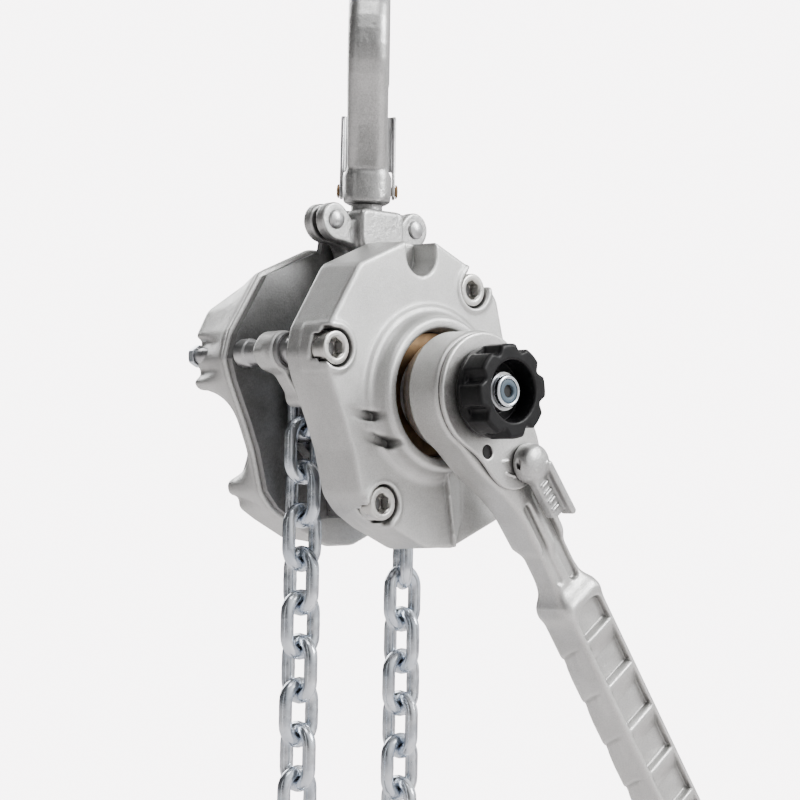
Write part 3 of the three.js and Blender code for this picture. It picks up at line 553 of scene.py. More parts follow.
def add_boss(body, radius, y):
    """A low step and a tall boss around the shaft, hollowed out from the front."""
    step_top = COVER_FACE - 1.4
    step = outline_field(radius, y, [(30, BOSS_ROOT), (42.5, BOSS_ROOT), (41.5, step_top), (30, step_top)])
    body = join(body, step, 3)
    boss = outline_field(radius, y, [(28, BOSS_ROOT), (39.5, BOSS_ROOT), (37, BOSS_RIM + 1.4),
                                     (35.6, BOSS_RIM), (31.6, BOSS_RIM), (28, BOSS_RIM + 8)])
    body = join(body, boss, 3.2)
    well = outline_field(radius, y, [(-1, -47.6), (19, -47.6), (19, BOSS_ROOT), (29.6, -51.5),
                                     (30.6, BOSS_RIM - 3), (-1, BOSS_RIM - 3)])
    return cut(body, well, 1.2)


def dent(x, y, z, start, end):
    """A thumb-shaped hollow that gets deeper towards its second end."""
    deepening = np.clip((x - start[0]) / (end[0] - start[0]), 0, 1)
    return np.maximum(stadium(x, z, start, end, 2.1), y - (COVER_FACE - 0.4 + 3.0 * deepening))


def wedge(x, y, z):
    """A sloping facet below the boss."""
    line = outline_field(x, z, [(6, -38), (19, -36), (18.5, -57), (11, -75), (8.5, -58)])
    top = COVER_FACE - 0.2 - 3.6 * np.clip((17 - x) / 10, 0, 1)
    return np.maximum(line, slab(y, top, -45) * 0.9)


def brake_shield():
    ring = chamfered([(20.5, -53.6), (29.4, -53.6), (29.4, -52), (20.5, -52)], 0.4)
    turned("brake_shield", ring, HOUSING, "housing", BRONZE, (), 72)


def cut_screw_pocket(body, x, y, z, spot, flat):
    """A raised rim and a round pocket that runs out through the cover's side."""
    length = math.hypot(*spot)
    outward = (spot[0] / length, spot[1] / length)
    far = (spot[0] + outward[0] * 25, spot[1] + outward[1] * 25)
    near = (spot[0] + outward[0], spot[1] + outward[1])
    within = np.maximum(disc(x, z, near, POCKET_R + 2.5), flat)
    rim = rounded_both(within, slab(y, COVER_FACE - 0.9, -36), 1)
    body = join(body, rim, 1.6)
    pocket = np.maximum(disc(x, z, spot, POCKET_R), slab(y, COVER_FACE - 4, COVER_FACE + 10))
    run_out = np.maximum(stadium(x, z, spot, far, POCKET_R - 0.9), slab(y, COVER_FACE - 4, COVER_FACE + 5))
    body = cut(body, run_out, 0.8)
    return cut(body, pocket, 0.8)


def gear_cover():
    """The rear casting: its outline changes from the brake cover's to its own towards the back."""
    (x, y, z), axes = grid((-69, GEAR_COVER_FRONT, -77), (69, GEAR_COVER_BACK + 6, 77), 0.9)
    front = outline_field(x, z, rounded(OUTLINE, 2.6)) + 1.2
    rear = outline_field(x, z, rounded(REAR_OUTLINE, 2.4))
    share = np.clip((y - 24) / 22, 0, 1)
    body = rounded_both(front * (1 - share) + rear * share, slab(y, GEAR_COVER_FRONT, GEAR_COVER_BACK), 1.8)
    bead = rounded_both(front - 0.9, slab(y, GEAR_COVER_FRONT, 21), 0.8)
    body = join(body, bead, 0.8)
    for spot in ((0, 0), polar(30, 110), polar(30, -70)):
        dome = rounded_both(disc(x, z, spot, 13), slab(y, 40, GEAR_COVER_BACK + 3), 2.4)
        body = join(body, dome, 3)
    solid("gear_cover_casting", body, axes, HOUSING, "housing", CASTING, ["gear_cover"])


def cover_screws():
    for name, spot in SCREWS.items():
        (x, y, z), axes = grid((-8, COVER_FACE, -8), (8, -30, 8), 0.36)
        radius = np.hypot(x, z)
        top = COVER_FACE + 0.6
        head = rounded_both(radius - SCREW_HEAD_R, slab(y, top, COVER_FACE + 9.6), 0.9)
        socket = np.maximum(outline_field(x, z, hexagon(4.7)), slab(y, top - 3, top + 6.4))
        cone = radius - 5.2 + (y - top)
        body = cut(cut(head, socket, 0.2), np.maximum(cone, y - top - 1.2), 0.3)
        shank = np.maximum(radius - 4.9, slab(y, COVER_FACE + 8, -30))
        body = join(body, shank, 0.6)
        matrix = HOUSING @ Matrix.Translation((spot[0], 0, spot[1]))
        solid(f"socket_screw_{name}", body, axes, matrix, "housing", SCREW_STEEL,
              [f"cover_screw_{name}"])
        # A dark disc near the bottom of each hex socket: painted shade.
        socket_shade_line = [(0, top + 5.6), (3.9, top + 5.6), (3.9, top + 6.2), (0, top + 6.2)]
        turned(f"socket_shade_disc_{name}", socket_shade_line, HOUSING, "housing", INSIDE_SHADE, (), 6, spot)


def stays():
    for name in STAYS:
        spot = SCREWS[name]
        spacer = chamfered([(0, -26.4), (7, -26.4), (7, -19), (6, -18), (6, 7), (7, 8), (7, 14.6), (4, 14.6),
                            (4, 52.6), (0, 53)], 0.6)
        turned(f"stay_{name}", spacer, HOUSING, "housing", STEEL, [f"stay_bolt_{name}"], 40, spot)
        (x, y, z), axes = grid((-6, 48, -6), (6, 52, 6), 0.3)
        nut = np.maximum(outline_field(x, z, hexagon(5.6)), slab(y, 48, 51.8))
        crown = np.hypot(x, z) - 6.1 + (y - 50.6)
        nut = cut(np.maximum(nut, crown), np.hypot(x, z) - 4.3, 0.3)
        matrix = HOUSING @ Matrix.Translation((spot[0], 0, spot[1]))
        solid(f"nut_{name}", nut, axes, matrix, "housing", ZINC, [f"stay_nut_{name}"])


def chain_guide():
    (x, y, z), axes = grid((-74, -18, -6), (-42, -3, 34), 0.5)
    spot = SCREWS["upper_left"]
    boss = rounded_both(disc(x, z, spot, 9.7), slab(y, -17.5, -4), 1.8)
    arm = rounded_both(stadium(x, z, (-58, 15), (-48, 1), 2.8), slab(y, -16, -7), 1.2)
    tip_line = outline_field(x, z, rounded([(-60, 30), (-70.5, 22.4), (-62, 14)], 3))
    tip = rounded_both(tip_line, slab(y, -12, -5), 1.2)
    lobe = rounded_both(disc(x, z, (-47, 0), 4.4), slab(y, -17, -6), 1.8)
    body = join(join(join(boss, arm, 3), tip, 2.5), lobe, 2.5)
    body = cut(body, disc(x, z, spot, 7.4), 0.6)
    solid("chain_guide_casting", body, axes, HOUSING, "housing", CASTING, ["chain_guide"])
    # The guide's bush is coloured with the darker copy of the cast paint: painted shade.
    ring = chamfered([(7.1, -20), (8.8, -20), (8.8, -17), (7.1, -17)], 0.4)
    turned("guide_bush", ring, HOUSING, "housing", INSIDE_SHADE, (), 40, spot)


# ---------- lever ----------
def lever_casting():
    (x, y, z), axes = grid((-31, LEVER_FACE, -LEVER_LENGTH), (31, -58, 31), COARSE)
    radius = np.hypot(x, z)
    shoulder = [(21.5, -31), (15, -48), (10.8, -62), (9.5, -86)]
    head_line = arc(LEVER_HEAD_R, 208, -28, 36) + shoulder + [(-u, v) for u, v in reversed(shoulder)]
    head = rounded_both(outline_field(x, z, rounded(head_line, 4)), slab(y, -87, LEVER_REAR), 1.8)
    barrel = outline_field(radius, y, [(-1, -60), (24.8, -60), (26.6, -63.5), (28.2, -69.5), (-1, -69.5)])
    body = join(head, barrel, 2)
    body = join(body, neck(x, y, z), 6)
    body = cut(body, neck_grooves(x, y, z), 1.8)
    body = join(body, grip(x, y, z), 9)
    chamber = np.maximum(radius - 24.5, y + 70.2)
    body = cut(body, chamber, 0.6)
    body = cut(body, radius - 13.6, 0.6)
    solid("lever_casting", body, axes, LEVER, "lever", LEVER_CASTING, ["lever_housing"])


def neck(x, y, z):
    """The bar between the head and the grip, wider at both ends."""
    half = 9.2 + 3.8 * np.clip((-z - 100) / 16, 0, 1) ** 2 + 4 * np.clip((z + 66) / 24, 0, 1) ** 2
    bar = rounded_both(np.abs(x) - half, slab(z, -121, -44), 1)
    return rounded_both(bar, slab(y, -86.4, -70.6), 3.4)


def neck_grooves(x, y, z):
    """Two grooves along the neck's front and one along its back."""
    middle = np.maximum(stadium(x, z, (3.8, -60), (3.8, -107), 2.7), y + 84)
    side = np.maximum(stadium(x, z, (-6.2, -62), (-6.2, -104), 1.7), y + 85.3)
    back = np.maximum(stadium(x, z, (0, -62), (0, -104), 3.2), -74.4 - y)
    return np.minimum(np.minimum(middle, side), back)


def grip(x, y, z):
    """A long handle: ribs in front, an open channel behind, and scallops along both sides."""
    end, half = -LEVER_LENGTH, GRIP_HALF
    plan = rounded([(-half, -GRIP_START), (-half, end + 8), (-8, end), (8, end), (half, end + 8),
                    (half, -GRIP_START)], 6)
    handle = rounded_both(outline_field(x, z, plan), slab(y, LEVER_FACE, LEVER_REAR - 0.3), 2.6)
    handle = cut(handle, ribbed_panel(x, y, z), 0.6)
    handle = cut_channel(handle, x, y, z)
    return np.maximum(handle, scalloped_sides(x, y, z))


def ribbed_panel(x, y, z):
    """The hollow in the grip's front. Its floor climbs to a crest at each rib."""
    end = -LEVER_LENGTH + 9
    line = outline_field(x, z, rounded([(-9.9, -121), (-9.9, end), (10.2, end), (10.2, -121)], 7))
    below = np.mod(FIRST_RIB - z, RIB_SPACING)
    crest = np.clip((below - RIB_SPACING + RIB_CREST) / RIB_CREST, 0, 1)
    slope = np.clip(1.2 - below / 10, 0, 1)
    rise = np.where(z < FIRST_RIB + 2, np.maximum(slope, crest), 0)
    return np.maximum(line, y - (LEVER_FACE + PANEL_DEPTH - RIB_HEIGHT * rise))


def cut_channel(handle, x, y, z):
    """The open channel in the grip's back, with a web across it just below each rib."""
    bottom = LEVER_REAR - CHANNEL_DEPTH
    channel = block(x, y, z, (-CHANNEL_HALF, bottom, -LEVER_LENGTH + 12),
                    (CHANNEL_HALF, LEVER_REAR + 9, -GRIP_START - 10), 1.2)
    handle = cut(handle, channel, 1)
    for i in range(WEBS):
        middle = FIRST_RIB - RIB_SPACING * (i + 0.15)
        web = rounded_both(np.abs(z - middle) - 1.3, np.abs(x) - CHANNEL_HALF - 0.7, 0.5)
        web = rounded_both(web, slab(y, bottom - 1, LEVER_REAR - 3.5), 0.8)
        handle = join(handle, web, 1.4)
    return handle


def scalloped_sides(x, y, z):
    """The grip's sides, with a finger scallop below each rib that fades out towards the front."""
    below = np.mod(FIRST_RIB - 4 - z - 0.5 * (y + 79), RIB_SPACING)
    scallop = np.clip(1 - below / 17, 0, 1) * np.clip(below / 2.2, 0, 1) * np.where(z < FIRST_RIB, 1, 0)
    depth = SCALLOP_DEPTH * scallop * np.clip((y + 87) / 9, 0, 1)
    return (np.abs(x) - GRIP_HALF + depth) * 0.85


def lever_plate():
    (x, y, z), axes = grid((-29, LEVER_FACE - 1, -53), (29, -87.2, 29), 0.45)
    line = join(disc(x, z, (0, 0), LEVER_HEAD_R - 1), disc(x, z, (0, -34), 17.5), 16)
    body = rounded_both(line, slab(y, LEVER_FACE, PLATE_BACK), 0.8)
    body = cut(body, disc(x, z, (0, 0), 9.7), 0.4)
    body = cut(body, disc(x, z, SELECTOR_AXIS, 3.9), 0.4)
    body = cut(body, np.maximum(disc(x, z, PLATE_HOLE, 3.3), y + 88.2), 0.4)
    for start, end in (((-9, -33), (-5.5, -35)), ((-10, -39), (-6.5, -43)), ((-6.5, -43), (-2.5, -46))):
        mark = stadium(x, z, start, end, 0.5)
        body = join(body, rounded_both(mark, slab(y, LEVER_FACE - 0.5, LEVER_FACE + 1), 0.3), 0.6)
    solid("lever_plate", body, axes, LEVER, "lever", LEVER_CASTING, ["lever_front_plate"])
    # A near-black disc at the bottom of the plate's hole: painted shade.
    hole = [(0, -88.5), (3.2, -88.5), (3.2, -88.2), (0, -88.2)]
    turned("plate_hole_shade", hole, LEVER, "lever", HOLE_SHADE, (), 32, PLATE_HOLE)


def selector_handle():
    (x, y, z), axes = grid((-9, -102, -76), (15, -70, -31), 0.42)
    across = disc(x, z, SELECTOR_AXIS, 0)
    hub_line = rounded([(-1, -70.6), (3.4, -70.6), (3.4, -90.4), (9.5, -90.4), (9.5, -95), (8.2, -98.4),
                        (4.5, -100), (-1, -100.4)], 1.6)
    hub = outline_field(across, y, hub_line)
    arm_line = outline_field(x, z, rounded([(-3, -42), (-1.8, -71.5), (7.4, -71.5), (9, -42)], 3))
    arm = rounded_both(arm_line, slab(y, -97.2, -92), 0.9)
    fin = rounded_both(stadium(x, z, (7.8, -46), (8.6, -73), 1.7), slab(y, -101, -93), 1)
    body = join(join(hub, arm, 1.6), fin, 1.4)
    for i in range(4):
        rib = stadium(x, z, (-0.4, -53.5 - 4.4 * i), (3.6, -53.1 - 4.4 * i), 0.75)
        body = join(body, rounded_both(rib, slab(y, -98.2, -96), 0.4), 0.7)
    slit = np.hypot(x + 4.6, y + 94.2) - 1.3 + np.maximum(np.abs(z + 38) - 3, 0)
    body = cut(body, slit, 0.3)
    solid("selector_handle", body, axes, LEVER, "selector_shaft", FORGED, ["selector"])


def handwheel():
    """A fluted knob on a round base, hollow in front."""
    (x, y, z), axes = grid((-23, KNOB_FRONT, -23), (23, -91.5, 23), 0.42)
    radius = np.hypot(x, z)
    angle = np.arctan2(z, x)
    flute = np.clip(np.cos(LOBES * (angle + 0.25)), 0, 1) ** 1.3
    lobed = radius - (KNOB_R - FLUTE_DEPTH * flute)
    body = rounded_both(lobed * 0.9, slab(y, KNOB_FRONT, -94), 1.6)
    base = rounded_both(radius - KNOB_R + 0.6, slab(y, -97, -91.5), 1.1)
    body = join(body, base, 1)
    body = cut(body, np.maximum(radius - 14.4, y + 96.8), 1)
    body = cut(body, radius - 9.3, 0.4)
    solid("handwheel_moulding", body, axes, PLAIN, "handwheel_hub", BLACK, ["handwheel"])


def retaining_nut():
    ring = chamfered([(5.8, -102.3), (7.6, -102.3), (7.6, -104.9), (6.4, -105.4), (5.8, -105)], 0.3)
    turned("nut_collar", ring, PLAIN, "drive_shaft", ZINC, ["retaining_nut"], 48)
    (x, y, z), axes = grid((-9.5, -102, -9.5), (9.5, -98, 9.5), 0.36)
    lock = rounded_both(outline_field(x, z, hexagon(8.8)), slab(y, -101.9, -98.4), 0.4)
    lock = cut(lock, np.hypot(x, z) - 5.9, 0.3)
    solid("lock_nut", lock, axes, PLAIN, "drive_shaft", BRONZE)
    insert = chamfered([(3.0, -103.5), (5.5, -103.5), (5.5, -105), (3.6, -105.3), (3.0, -104.8)], 0.3)
    turned("nut_insert", insert, PLAIN, "drive_shaft", INSERT, (), 48)
    # A near-black disc inside the nut's insert: painted shade in the shaft's bore.
    hole = [(0, -103.6), (3.0, -103.6), (3.0, -103.45), (0, -103.45)]
    turned("shaft_hole_shade", hole, PLAIN, "drive_shaft", HOLE_SHADE, (), 32)


# ---------- hooks and yokes ----------
def hook_line():
    """The hook's side outline: up the shank, round the bowl, over the tip and back along the spine."""
    bowl = arc(BOWL_R, 225, -15, 24, BOWL)
    spine = arc(42, -18, 212, 23, BOWL)
    return [(11.5, 0), (11.5, 10), (2, 24), (-9, 40), *bowl, (18.5, 54), (21, 46.5), (26, 45), (33, 52),
            *spine, (-25, 34), (-11.5, 15), (-11.5, 0)]


def hook(name, matrix, body, node):
    (x, y, z), axes = grid((-43, -12, -20), (43, 12, 116), COARSE)
    side = outline_field(x, z, hook_line())
    thin = 3.4 * np.clip((x - 12) / 14, 0, 1) * np.clip((66 - z) / 16, 0, 1)
    form = rounded_both(side, np.abs(y) - 10 + thin, 6.2)
    across = np.hypot(x, y)
    collar = rounded_both(across - 11.5, slab(z, 0, 13), 0.9)
    shaft = np.maximum(across - STEM_BORE_R + 0.6, slab(z, -19.2, 2))
    head = np.maximum(across - STEM_HEAD_BORE_R + 0.6, slab(z, -19.2, -12.2))
    form = join(join(form, collar, 5), join(shaft, head), 0.5)
    form = cut(form, disc(x, z, LATCH_PIVOT, LATCH_BORE_R), 0.3)
    solid(name, form, axes, matrix, body, FORGED, [node])


def latch(name, matrix, body, node):
    """Bent sheet: two cheeks beside the shank and a tongue that shuts the throat."""
    (x, y, z), axes = grid((3, -14, 2), (22, 14, 47), 0.5)
    cheek_line = rounded([(4, 3), (14, 3), (20, 46), (12, 46), (4, 13)], 3.5)
    cheeks = rounded_both(outline_field(x, z, cheek_line), 12.2 - np.abs(y), 0.3)
    cheeks = rounded_both(cheeks, np.abs(y) - 13.8, 0.5)
    tongue_line = outline_field(x, z, [(14.5, 18), (17, 18), (20, 46), (17, 46)])
    tongue = rounded_both(tongue_line, np.abs(y) - 13, 0.5)
    form = cut(join(cheeks, tongue, 1.6), disc(x, z, LATCH_PIVOT, LATCH_BORE_R), 0.3)
    solid(name, form, axes, matrix, body, STEEL, [node])


def latch_bolt(name, matrix, body, node):
    line = [(0, -15.4), (2.6, -15.2), (3.5, -14.6), (3.5, -14.0), (2.3, -14.0), (2.3, 14.0), (3.5, 14.0),
            (3.5, 14.6), (2.6, 15.2), (0, 15.4)]
    turned(name, line, matrix, body, BRONZE, [node], 24, LATCH_PIVOT)


def top_yoke():
    """Two halves around the hook's stem, riveted through their ears."""
    line = rounded([(-10.5, 50), (10.5, 50), (10.5, 70), (14.3, 75), (14.3, 92.3), (-14.3, 92.3), (-14.3, 75),
                    (-10.5, 70)], 4.5)
    for name, side in (("rear", 1), ("front", -1)):
        (x, y, z), axes = grid((-37, -14, 48), (37, 14, 94), 0.6)
        depth = side * y
        form = rounded_both(outline_field(x, z, line), slab(depth, 0.15, 13), 2.2)
        for turn in (1, -1):
            ear = disc(x, z, (turn * EAR_X, EAR_Z), 8.5)
            ear = join(ear, stadium(x, z, (turn * 12, 79), (turn * 24, 82), 6), 5)
            form = join(form, rounded_both(ear, slab(depth, 1.5, 7.5), 1), 2)
        form = cut(form, disc(x, z, (0, 60), 5.9), 0.4)
        form = cut(form, np.maximum(np.hypot(x, y) - STEM_BORE_R, 78 - z), 0.4)
        form = cut(form, np.maximum(np.hypot(x, y) - STEM_HEAD_BORE_R, slab(z, 77.3, 85.3)), 0.3)
        for turn in (1, -1):
            form = cut(form, disc(x, z, (turn * EAR_X, EAR_Z), 3.3), 0.3)
        solid(f"yoke_half_{name}", form, axes, YOKE, "yoke", FORGED, [f"top_yoke_{name}"])
    rivet = [(0, -9.9), (2.4, -9.7), (4.2, -8.8), (4.7, -7.8), (3, -7.7), (3, 7.7), (4.7, 7.8), (4.2, 8.8),
             (2.4, 9.7), (0, 9.9)]
    for name, turn in (("left", -1), ("right", 1)):
        spot = (turn * EAR_X, EAR_Z)
        turned(f"rivet_{name}", rivet, YOKE, "yoke", STEEL, [f"yoke_rivet_{name}"], 32, spot)


def bottom_yoke():
    """Two halves around the bottom hook's stem, with a slot for the last link and its pin."""
    line = rounded([(-9, 8), (9, 8), (13.5, -8), (14.2, -31), (12, -36.2), (-12, -36.2), (-14.2, -31),
                    (-13.5, -8)], 4)
    for name, side in (("right", 1), ("left", -1)):
        (x, y, z), axes = grid((-14, -15, -37), (14, 15, 9), 0.55)
        depth = side * x
        form = rounded_both(outline_field(y, z, line), slab(depth, 0.15, 13), 2)
        slot = np.maximum(depth - 4.1, -np.minimum(z, 13 - np.hypot(y, z)))
        form = cut(form, slot, 0.6)
        form = cut(form, np.hypot(y, z) - 3.5, 0.3)
        form = cut(form, np.maximum(np.hypot(x, y) - STEM_BORE_R, z + 23.5), 0.3)
        form = cut(form, np.maximum(np.hypot(x, y) - STEM_HEAD_BORE_R, slab(z, -24.6, -17)), 0.3)
        solid(f"bottom_yoke_half_{name}", form, axes, BOTTOM_YOKE, "bottom_yoke", FORGED,
              [f"bottom_yoke_{name}"])
    pin = [(0, -14.2), (3.6, -14.1), (4.6, -13.6), (3.2, -13.3), (3.2, 13.3), (4.6, 13.6), (3.6, 14.1),
           (0, 14.2)]
    crosswise = BOTTOM_YOKE @ Matrix.Rotation(math.radians(90), 4, "Z")
    turned("block_pin", pin, crosswise, "bottom_yoke", STEEL, ["chain_pin"], 32)


# ---------- chain ----------
def tube_faces(rings):
    """The quads of a closed tube: each ring of vertices is joined to the next, and the last to the first."""
    faces = []
    for i, j in product(range(rings), range(TUBE_SIDES)):
        here, there = i * TUBE_SIDES, (i + 1) % rings * TUBE_SIDES
        k = (j + 1) % TUBE_SIDES
        faces.append((here + j, there + j, there + k, here + k))
    return faces


def link_path():
    """A link's centre line in the XZ plane as (x, z, swelling), with a weld on one side."""
    bend = LINK_HALF - WIRE_R
    straight = PITCH / 2 + WIRE_R - bend
    shoulder = straight * 0.35
    top = [(u, v, 1.0) for u, v in arc(bend, 0, 180, BEND_STEPS, (0, straight))]
    bottom = [(u, v, 1.0) for u, v in arc(bend, 180, 360, BEND_STEPS, (0, -straight))]
    left = [(-bend, shoulder, 1.0), (-bend, 0, 1.0), (-bend, -shoulder, 1.0)]
    return [(bend, 0, WELD_SWELL), (bend, shoulder, 1.0), *top, *left, *bottom, (bend, -shoulder, 1.0)]


def link_mesh(wire):
    path = link_path()
    vertices = []
    for i, (x, z, swelling) in enumerate(path):
        before, after = path[i - 1], path[(i + 1) % len(path)]
        along = Vector((after[0] - before[0], after[1] - before[1])).normalized()
        for j in range(TUBE_SIDES):
            angle = 2 * math.pi * j / TUBE_SIDES
            side = wire * swelling * math.cos(angle)
            vertices.append((x + along.y * side, wire * swelling * math.sin(angle), z - along.x * side))
    return vertices, tube_faces(len(path))


def links(name, places, body, node, wire=WIRE_R):
    base, base_faces = link_mesh(wire)
    vertices, faces = [], []
    for place in places:
        start = len(vertices)
        vertices += [place @ Vector(v) for v in base]
        faces += [[start + i for i in face] for face in base_faces]
    made = piece(name, vertices, faces, PLAIN, body, ZINC, [node])
    repair_normals(made.data)


def upright(x, z, degrees):
    return Matrix.Translation((x, 0, z)) @ Matrix.Rotation(math.radians(degrees), 4, "Z")


def chains():
    """The falls hang from where the chain leaves the sheave. Along the slack fall the links slowly twist."""
    half_step = math.radians(LINK_TURN / 2)
    leaving_r = PITCH / (2 * math.sin(half_step))
    centre_r = leaving_r * math.cos(half_step)
    leave_x, leave_z = polar(leaving_r, CHAIN_PHASE)
    load = [upright(-leave_x, -leave_z - PITCH * (i + 1), 90 * (i % 2)) for i in range(LOAD_LINKS)]
    links("load_fall_links", load, "load_fall", "load_chain")
    twist = [90 * (i + 1) + 30 * min(max(i - 1, 0), 3) for i in range(SLACK_LINKS)]
    slack = [upright(leave_x, leave_z - PITCH * (i + 1), twist[i]) for i in range(SLACK_LINKS)]
    links("slack_fall_links", slack, "slack_fall", "slack_chain")
    load_leaving = [upright(-leave_x, -leave_z, 90)]
    links("load_leaving_link", load_leaving, "load_transit", "load_transit_link", LOAD_LEAVING_R)
    slack_leaving = [upright(leave_x, leave_z, 0)]
    links("slack_leaving_link", slack_leaving, "slack_transit", "slack_transit_link", SLACK_LEAVING_R)
    wrapped = []
    for i in range(WRAPPED_LINKS):
        around = Matrix.Rotation(math.radians(-CHAIN_PHASE - LINK_TURN * (i + 1)), 4, "Y")
        flat = Matrix.Rotation(math.radians(90 if i % 2 == 0 else 0), 4, "Z")
        wrapped.append(around @ Matrix.Translation((centre_r, 0, 0)) @ flat)
    links("wrapped_links", wrapped, "sheave", "wrapped_chain", WRAPPED_R)


def end_ring():
    low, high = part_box("slack_end_ring")
    middle = scaled_frame((low + high) / 2)
    vertices = []
    for i, j in product(range(RING_STEPS), range(TUBE_SIDES)):
        a, b = 2 * math.pi * i / RING_STEPS, 2 * math.pi * j / TUBE_SIDES
        radius = RING_R + RING_WIRE_R * math.cos(b)
        vertices.append((RING_WIRE_R * math.sin(b), radius * math.cos(a), radius * math.sin(a)))
    faces = tube_faces(RING_STEPS)
    made = piece("stop_ring", vertices, faces, middle, "slack_ring", ZINC, ["slack_end_ring"])
    repair_normals(made.data)


# ---------- the rest of the frame ----------
# The casting slot's CAD parts take the darker copy of the cast paint: painted shade.
SLOT_LOOKS = {"casting": INSIDE_SHADE, "lever_casting": LEVER_CASTING, "forged": FORGED, "zinc": ZINC,
              "steel": STEEL, "bronze": BRONZE, "friction": LINING, "knob": BLACK}
EDGE_BEVEL = 0.35


def dress_frame():
    """The CAD solids that stay get their slot's material, and a small bevel to catch the light."""
    slots = {row["node"]: row["material_slot"] for row in frame["record"]["subparts"]}
    for name, node in frame["nodes"].items():
        node.data.materials.clear()
        node.data.materials.append(SLOT_LOOKS[slots[name]])
        if node.hide_render:
            continue
        edge = node.modifiers.new("edge", "BEVEL")
        edge.width = EDGE_BEVEL * MM
        edge.segments = 2
        edge.limit_method = "ANGLE"
        edge.angle_limit = math.radians(40)


# ---------- stage ----------
AZIMUTH, ELEVATION, ROLL = -43, -3, 1
CAMERA_DISTANCE = 1.125
CAMERA_RIGHT = 0.0216
CAMERA_DOWN = 0.0013
LENS_MM = 102.6
SENSOR_MM = 36


def place_camera():
    """The camera's line of sight passes the sheave's centre a little to the right and below."""
    turn, rise, roll = (math.radians(v) for v in (-AZIMUTH, ELEVATION, ROLL))
    back = Vector((-math.sin(turn) * math.cos(rise), -math.cos(turn) * math.cos(rise), math.sin(rise)))
    right = (-back).cross(Vector((0, 0, 1))).normalized()
    up = right.cross(-back)
    rolled_right = right * math.cos(roll) + up * math.sin(roll)
    rolled_up = up * math.cos(roll) - right * math.sin(roll)
    spot = SHEAVE + rolled_right * CAMERA_RIGHT - rolled_up * CAMERA_DOWN + back * CAMERA_DISTANCE
    data = bpy.data.cameras.new("camera")
    data.sensor_width = SENSOR_MM
    data.lens = LENS_MM
    data.clip_start = 0.05
    camera = bpy.data.objects.new("camera", data)
    bpy.context.scene.collection.objects.link(camera)
    basis = Matrix((rolled_right, rolled_up, back)).transposed().to_4x4()
    camera.matrix_world = Matrix.Translation(spot) @ basis
    bpy.context.scene.camera = camera


def area_light(name, spot, size, power):
    data = bpy.data.lights.new(name, "AREA")
    data.shape = "RECTANGLE"
    data.size, data.size_y = size
    data.energy = power
    light = bpy.data.objects.new(name, data)
    bpy.context.scene.collection.objects.link(light)
    light.location = spot
    light.rotation_euler = (SHEAVE - Vector(spot)).to_track_quat("-Z", "Y").to_euler()


# The camera sees an even pale backdrop. The object is lit by a darker room that is bright on one side.
BACKDROP = (0.95, 0.90, 0.91, 1)
BACKDROP_STRENGTH = 7.5
BRIGHT_SIDE = (0.62, -0.62, 0.48)
ROOM_STRENGTH = 1.05
ROOM_BANDS = [(0.0, 0.2), (0.22, 0.08), (0.5, 0.15), (0.66, 0.7), (0.9, 1.3)]


def light_stage():
    area_light("key", (0.75, -1.3, 0.65), (0.7, 0.8), 31)
    area_light("top", (-0.5, -0.5, 1.3), (0.5, 0.5), 6)
    area_light("left_edge", (-1.5, -0.1, -0.1), (0.2, 1.6), 1.2)
    area_light("behind", (0.3, 1.5, 0.5), (0.9, 0.9), 16)
    world = bpy.data.worlds.new("studio")
    bpy.context.scene.world = world
    world.use_nodes = True
    tree = world.node_tree
    tree.nodes.clear()
    output = tree.nodes.new("ShaderNodeOutputWorld")
    seen, lighting, mix = (tree.nodes.new(kind) for kind in
                           ("ShaderNodeBackground", "ShaderNodeBackground", "ShaderNodeMixShader"))
    seen.inputs["Color"].default_value = BACKDROP
    seen.inputs["Strength"].default_value = BACKDROP_STRENGTH
    where = tree.nodes.new("ShaderNodeTexCoord").outputs["Generated"]
    toward = tree.nodes.new("ShaderNodeVectorMath")
    toward.operation = "DOT_PRODUCT"
    toward.inputs[1].default_value = Vector(BRIGHT_SIDE).normalized()
    tree.links.new(where, toward.inputs[0])
    spread = tree.nodes.new("ShaderNodeMapRange")
    spread.inputs["From Min"].default_value = -1
    tree.links.new(toward.outputs["Value"], spread.inputs["Value"])
    tree.links.new(grey_ramp(tree, spread.outputs["Result"], ROOM_BANDS), lighting.inputs["Color"])
    lighting.inputs["Strength"].default_value = ROOM_STRENGTH
    path = tree.nodes.new("ShaderNodeLightPath")
    tree.links.new(path.outputs["Is Camera Ray"], mix.inputs[0])
    tree.links.new(lighting.outputs[0], mix.inputs[1])
    tree.links.new(seen.outputs[0], mix.inputs[2])
    tree.links.new(mix.outputs[0], output.inputs[0])


FLOOR_HALF = 8
FLOOR_DROP = 0.05
FADE_FROM = 0.25
FADE_TO = 0.75


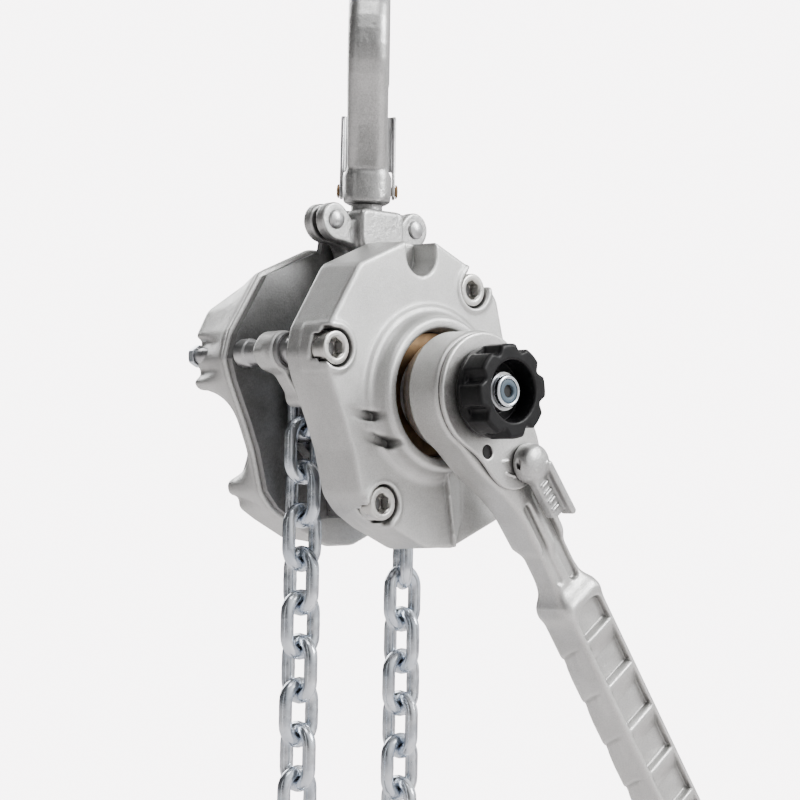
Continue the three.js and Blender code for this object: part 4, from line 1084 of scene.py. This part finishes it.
def fade_to_backdrop(tree, shader):
    """Away from the hoist the floor takes the backdrop's colour, so no horizon shows."""
    reach = tree.nodes.new("ShaderNodeVectorMath")
    reach.operation = "LENGTH"
    tree.links.new(coordinates_of(tree), reach.inputs[0])
    share = tree.nodes.new("ShaderNodeMapRange")
    share.inputs["From Min"].default_value = FADE_FROM
    share.inputs["From Max"].default_value = FADE_TO
    tree.links.new(reach.outputs["Value"], share.inputs["Value"])
    glow = tree.nodes.new("ShaderNodeEmission")
    glow.inputs["Color"].default_value = BACKDROP
    glow.inputs["Strength"].default_value = BACKDROP_STRENGTH
    path = tree.nodes.new("ShaderNodeLightPath")
    only_seen = tree.nodes.new("ShaderNodeMath")
    only_seen.operation = "MULTIPLY"
    tree.links.new(share.outputs["Result"], only_seen.inputs[0])
    tree.links.new(path.outputs["Is Camera Ray"], only_seen.inputs[1])
    mix = tree.nodes.new("ShaderNodeMixShader")
    tree.links.new(only_seen.outputs[0], mix.inputs[0])
    tree.links.new(shader.outputs[0], mix.inputs[1])
    tree.links.new(glow.outputs[0], mix.inputs[2])
    tree.links.new(mix.outputs[0], tree.nodes["Material Output"].inputs["Surface"])


def floor():
    level = CAD_BOX[0][2] - FLOOR_DROP
    mesh = bpy.data.meshes.new("floor")
    corners = [(u * FLOOR_HALF, v * FLOOR_HALF, level) for u, v in ((-1, -1), (1, -1), (1, 1), (-1, 1))]
    mesh.from_pydata(corners, [], [(0, 1, 2, 3)])
    plane = bpy.data.objects.new("floor", mesh)
    bpy.context.scene.collection.objects.link(plane)
    material, tree, shader = new_material("floor_paint")
    mottle = noise(tree, coordinates_of(tree), 3)
    tone = ramp(tree, mottle, [(0.3, (0.80, 0.77, 0.77)), (0.7, (0.84, 0.81, 0.81))])
    tree.links.new(tone, shader.inputs["Base Color"])
    shader.inputs["Roughness"].default_value = 0.8
    fade_to_backdrop(tree, shader)
    mesh.materials.append(material)


brake_cover()
brake_shield()
gear_cover()
cover_screws()
stays()
chain_guide()
lever_casting()
lever_plate()
selector_handle()
handwheel()
retaining_nut()
hook("top_hook_forging", TOP_HOOK, "hook_top", "top_hook")
latch("top_latch_sheet", TOP_HOOK, "latch_top", "top_latch")
latch_bolt("top_bolt", TOP_HOOK, "hook_top", "top_latch_bolt")
hook("bottom_hook_forging", BOTTOM_HOOK, "hook_bottom", "bottom_hook")
latch("bottom_latch_sheet", BOTTOM_HOOK, "latch_bottom", "bottom_latch")
latch_bolt("bottom_bolt", BOTTOM_HOOK, "hook_bottom", "bottom_latch_bolt")
top_yoke()
bottom_yoke()
chains()
end_ring()
dress_frame()
place_camera()
light_stage()
floor()
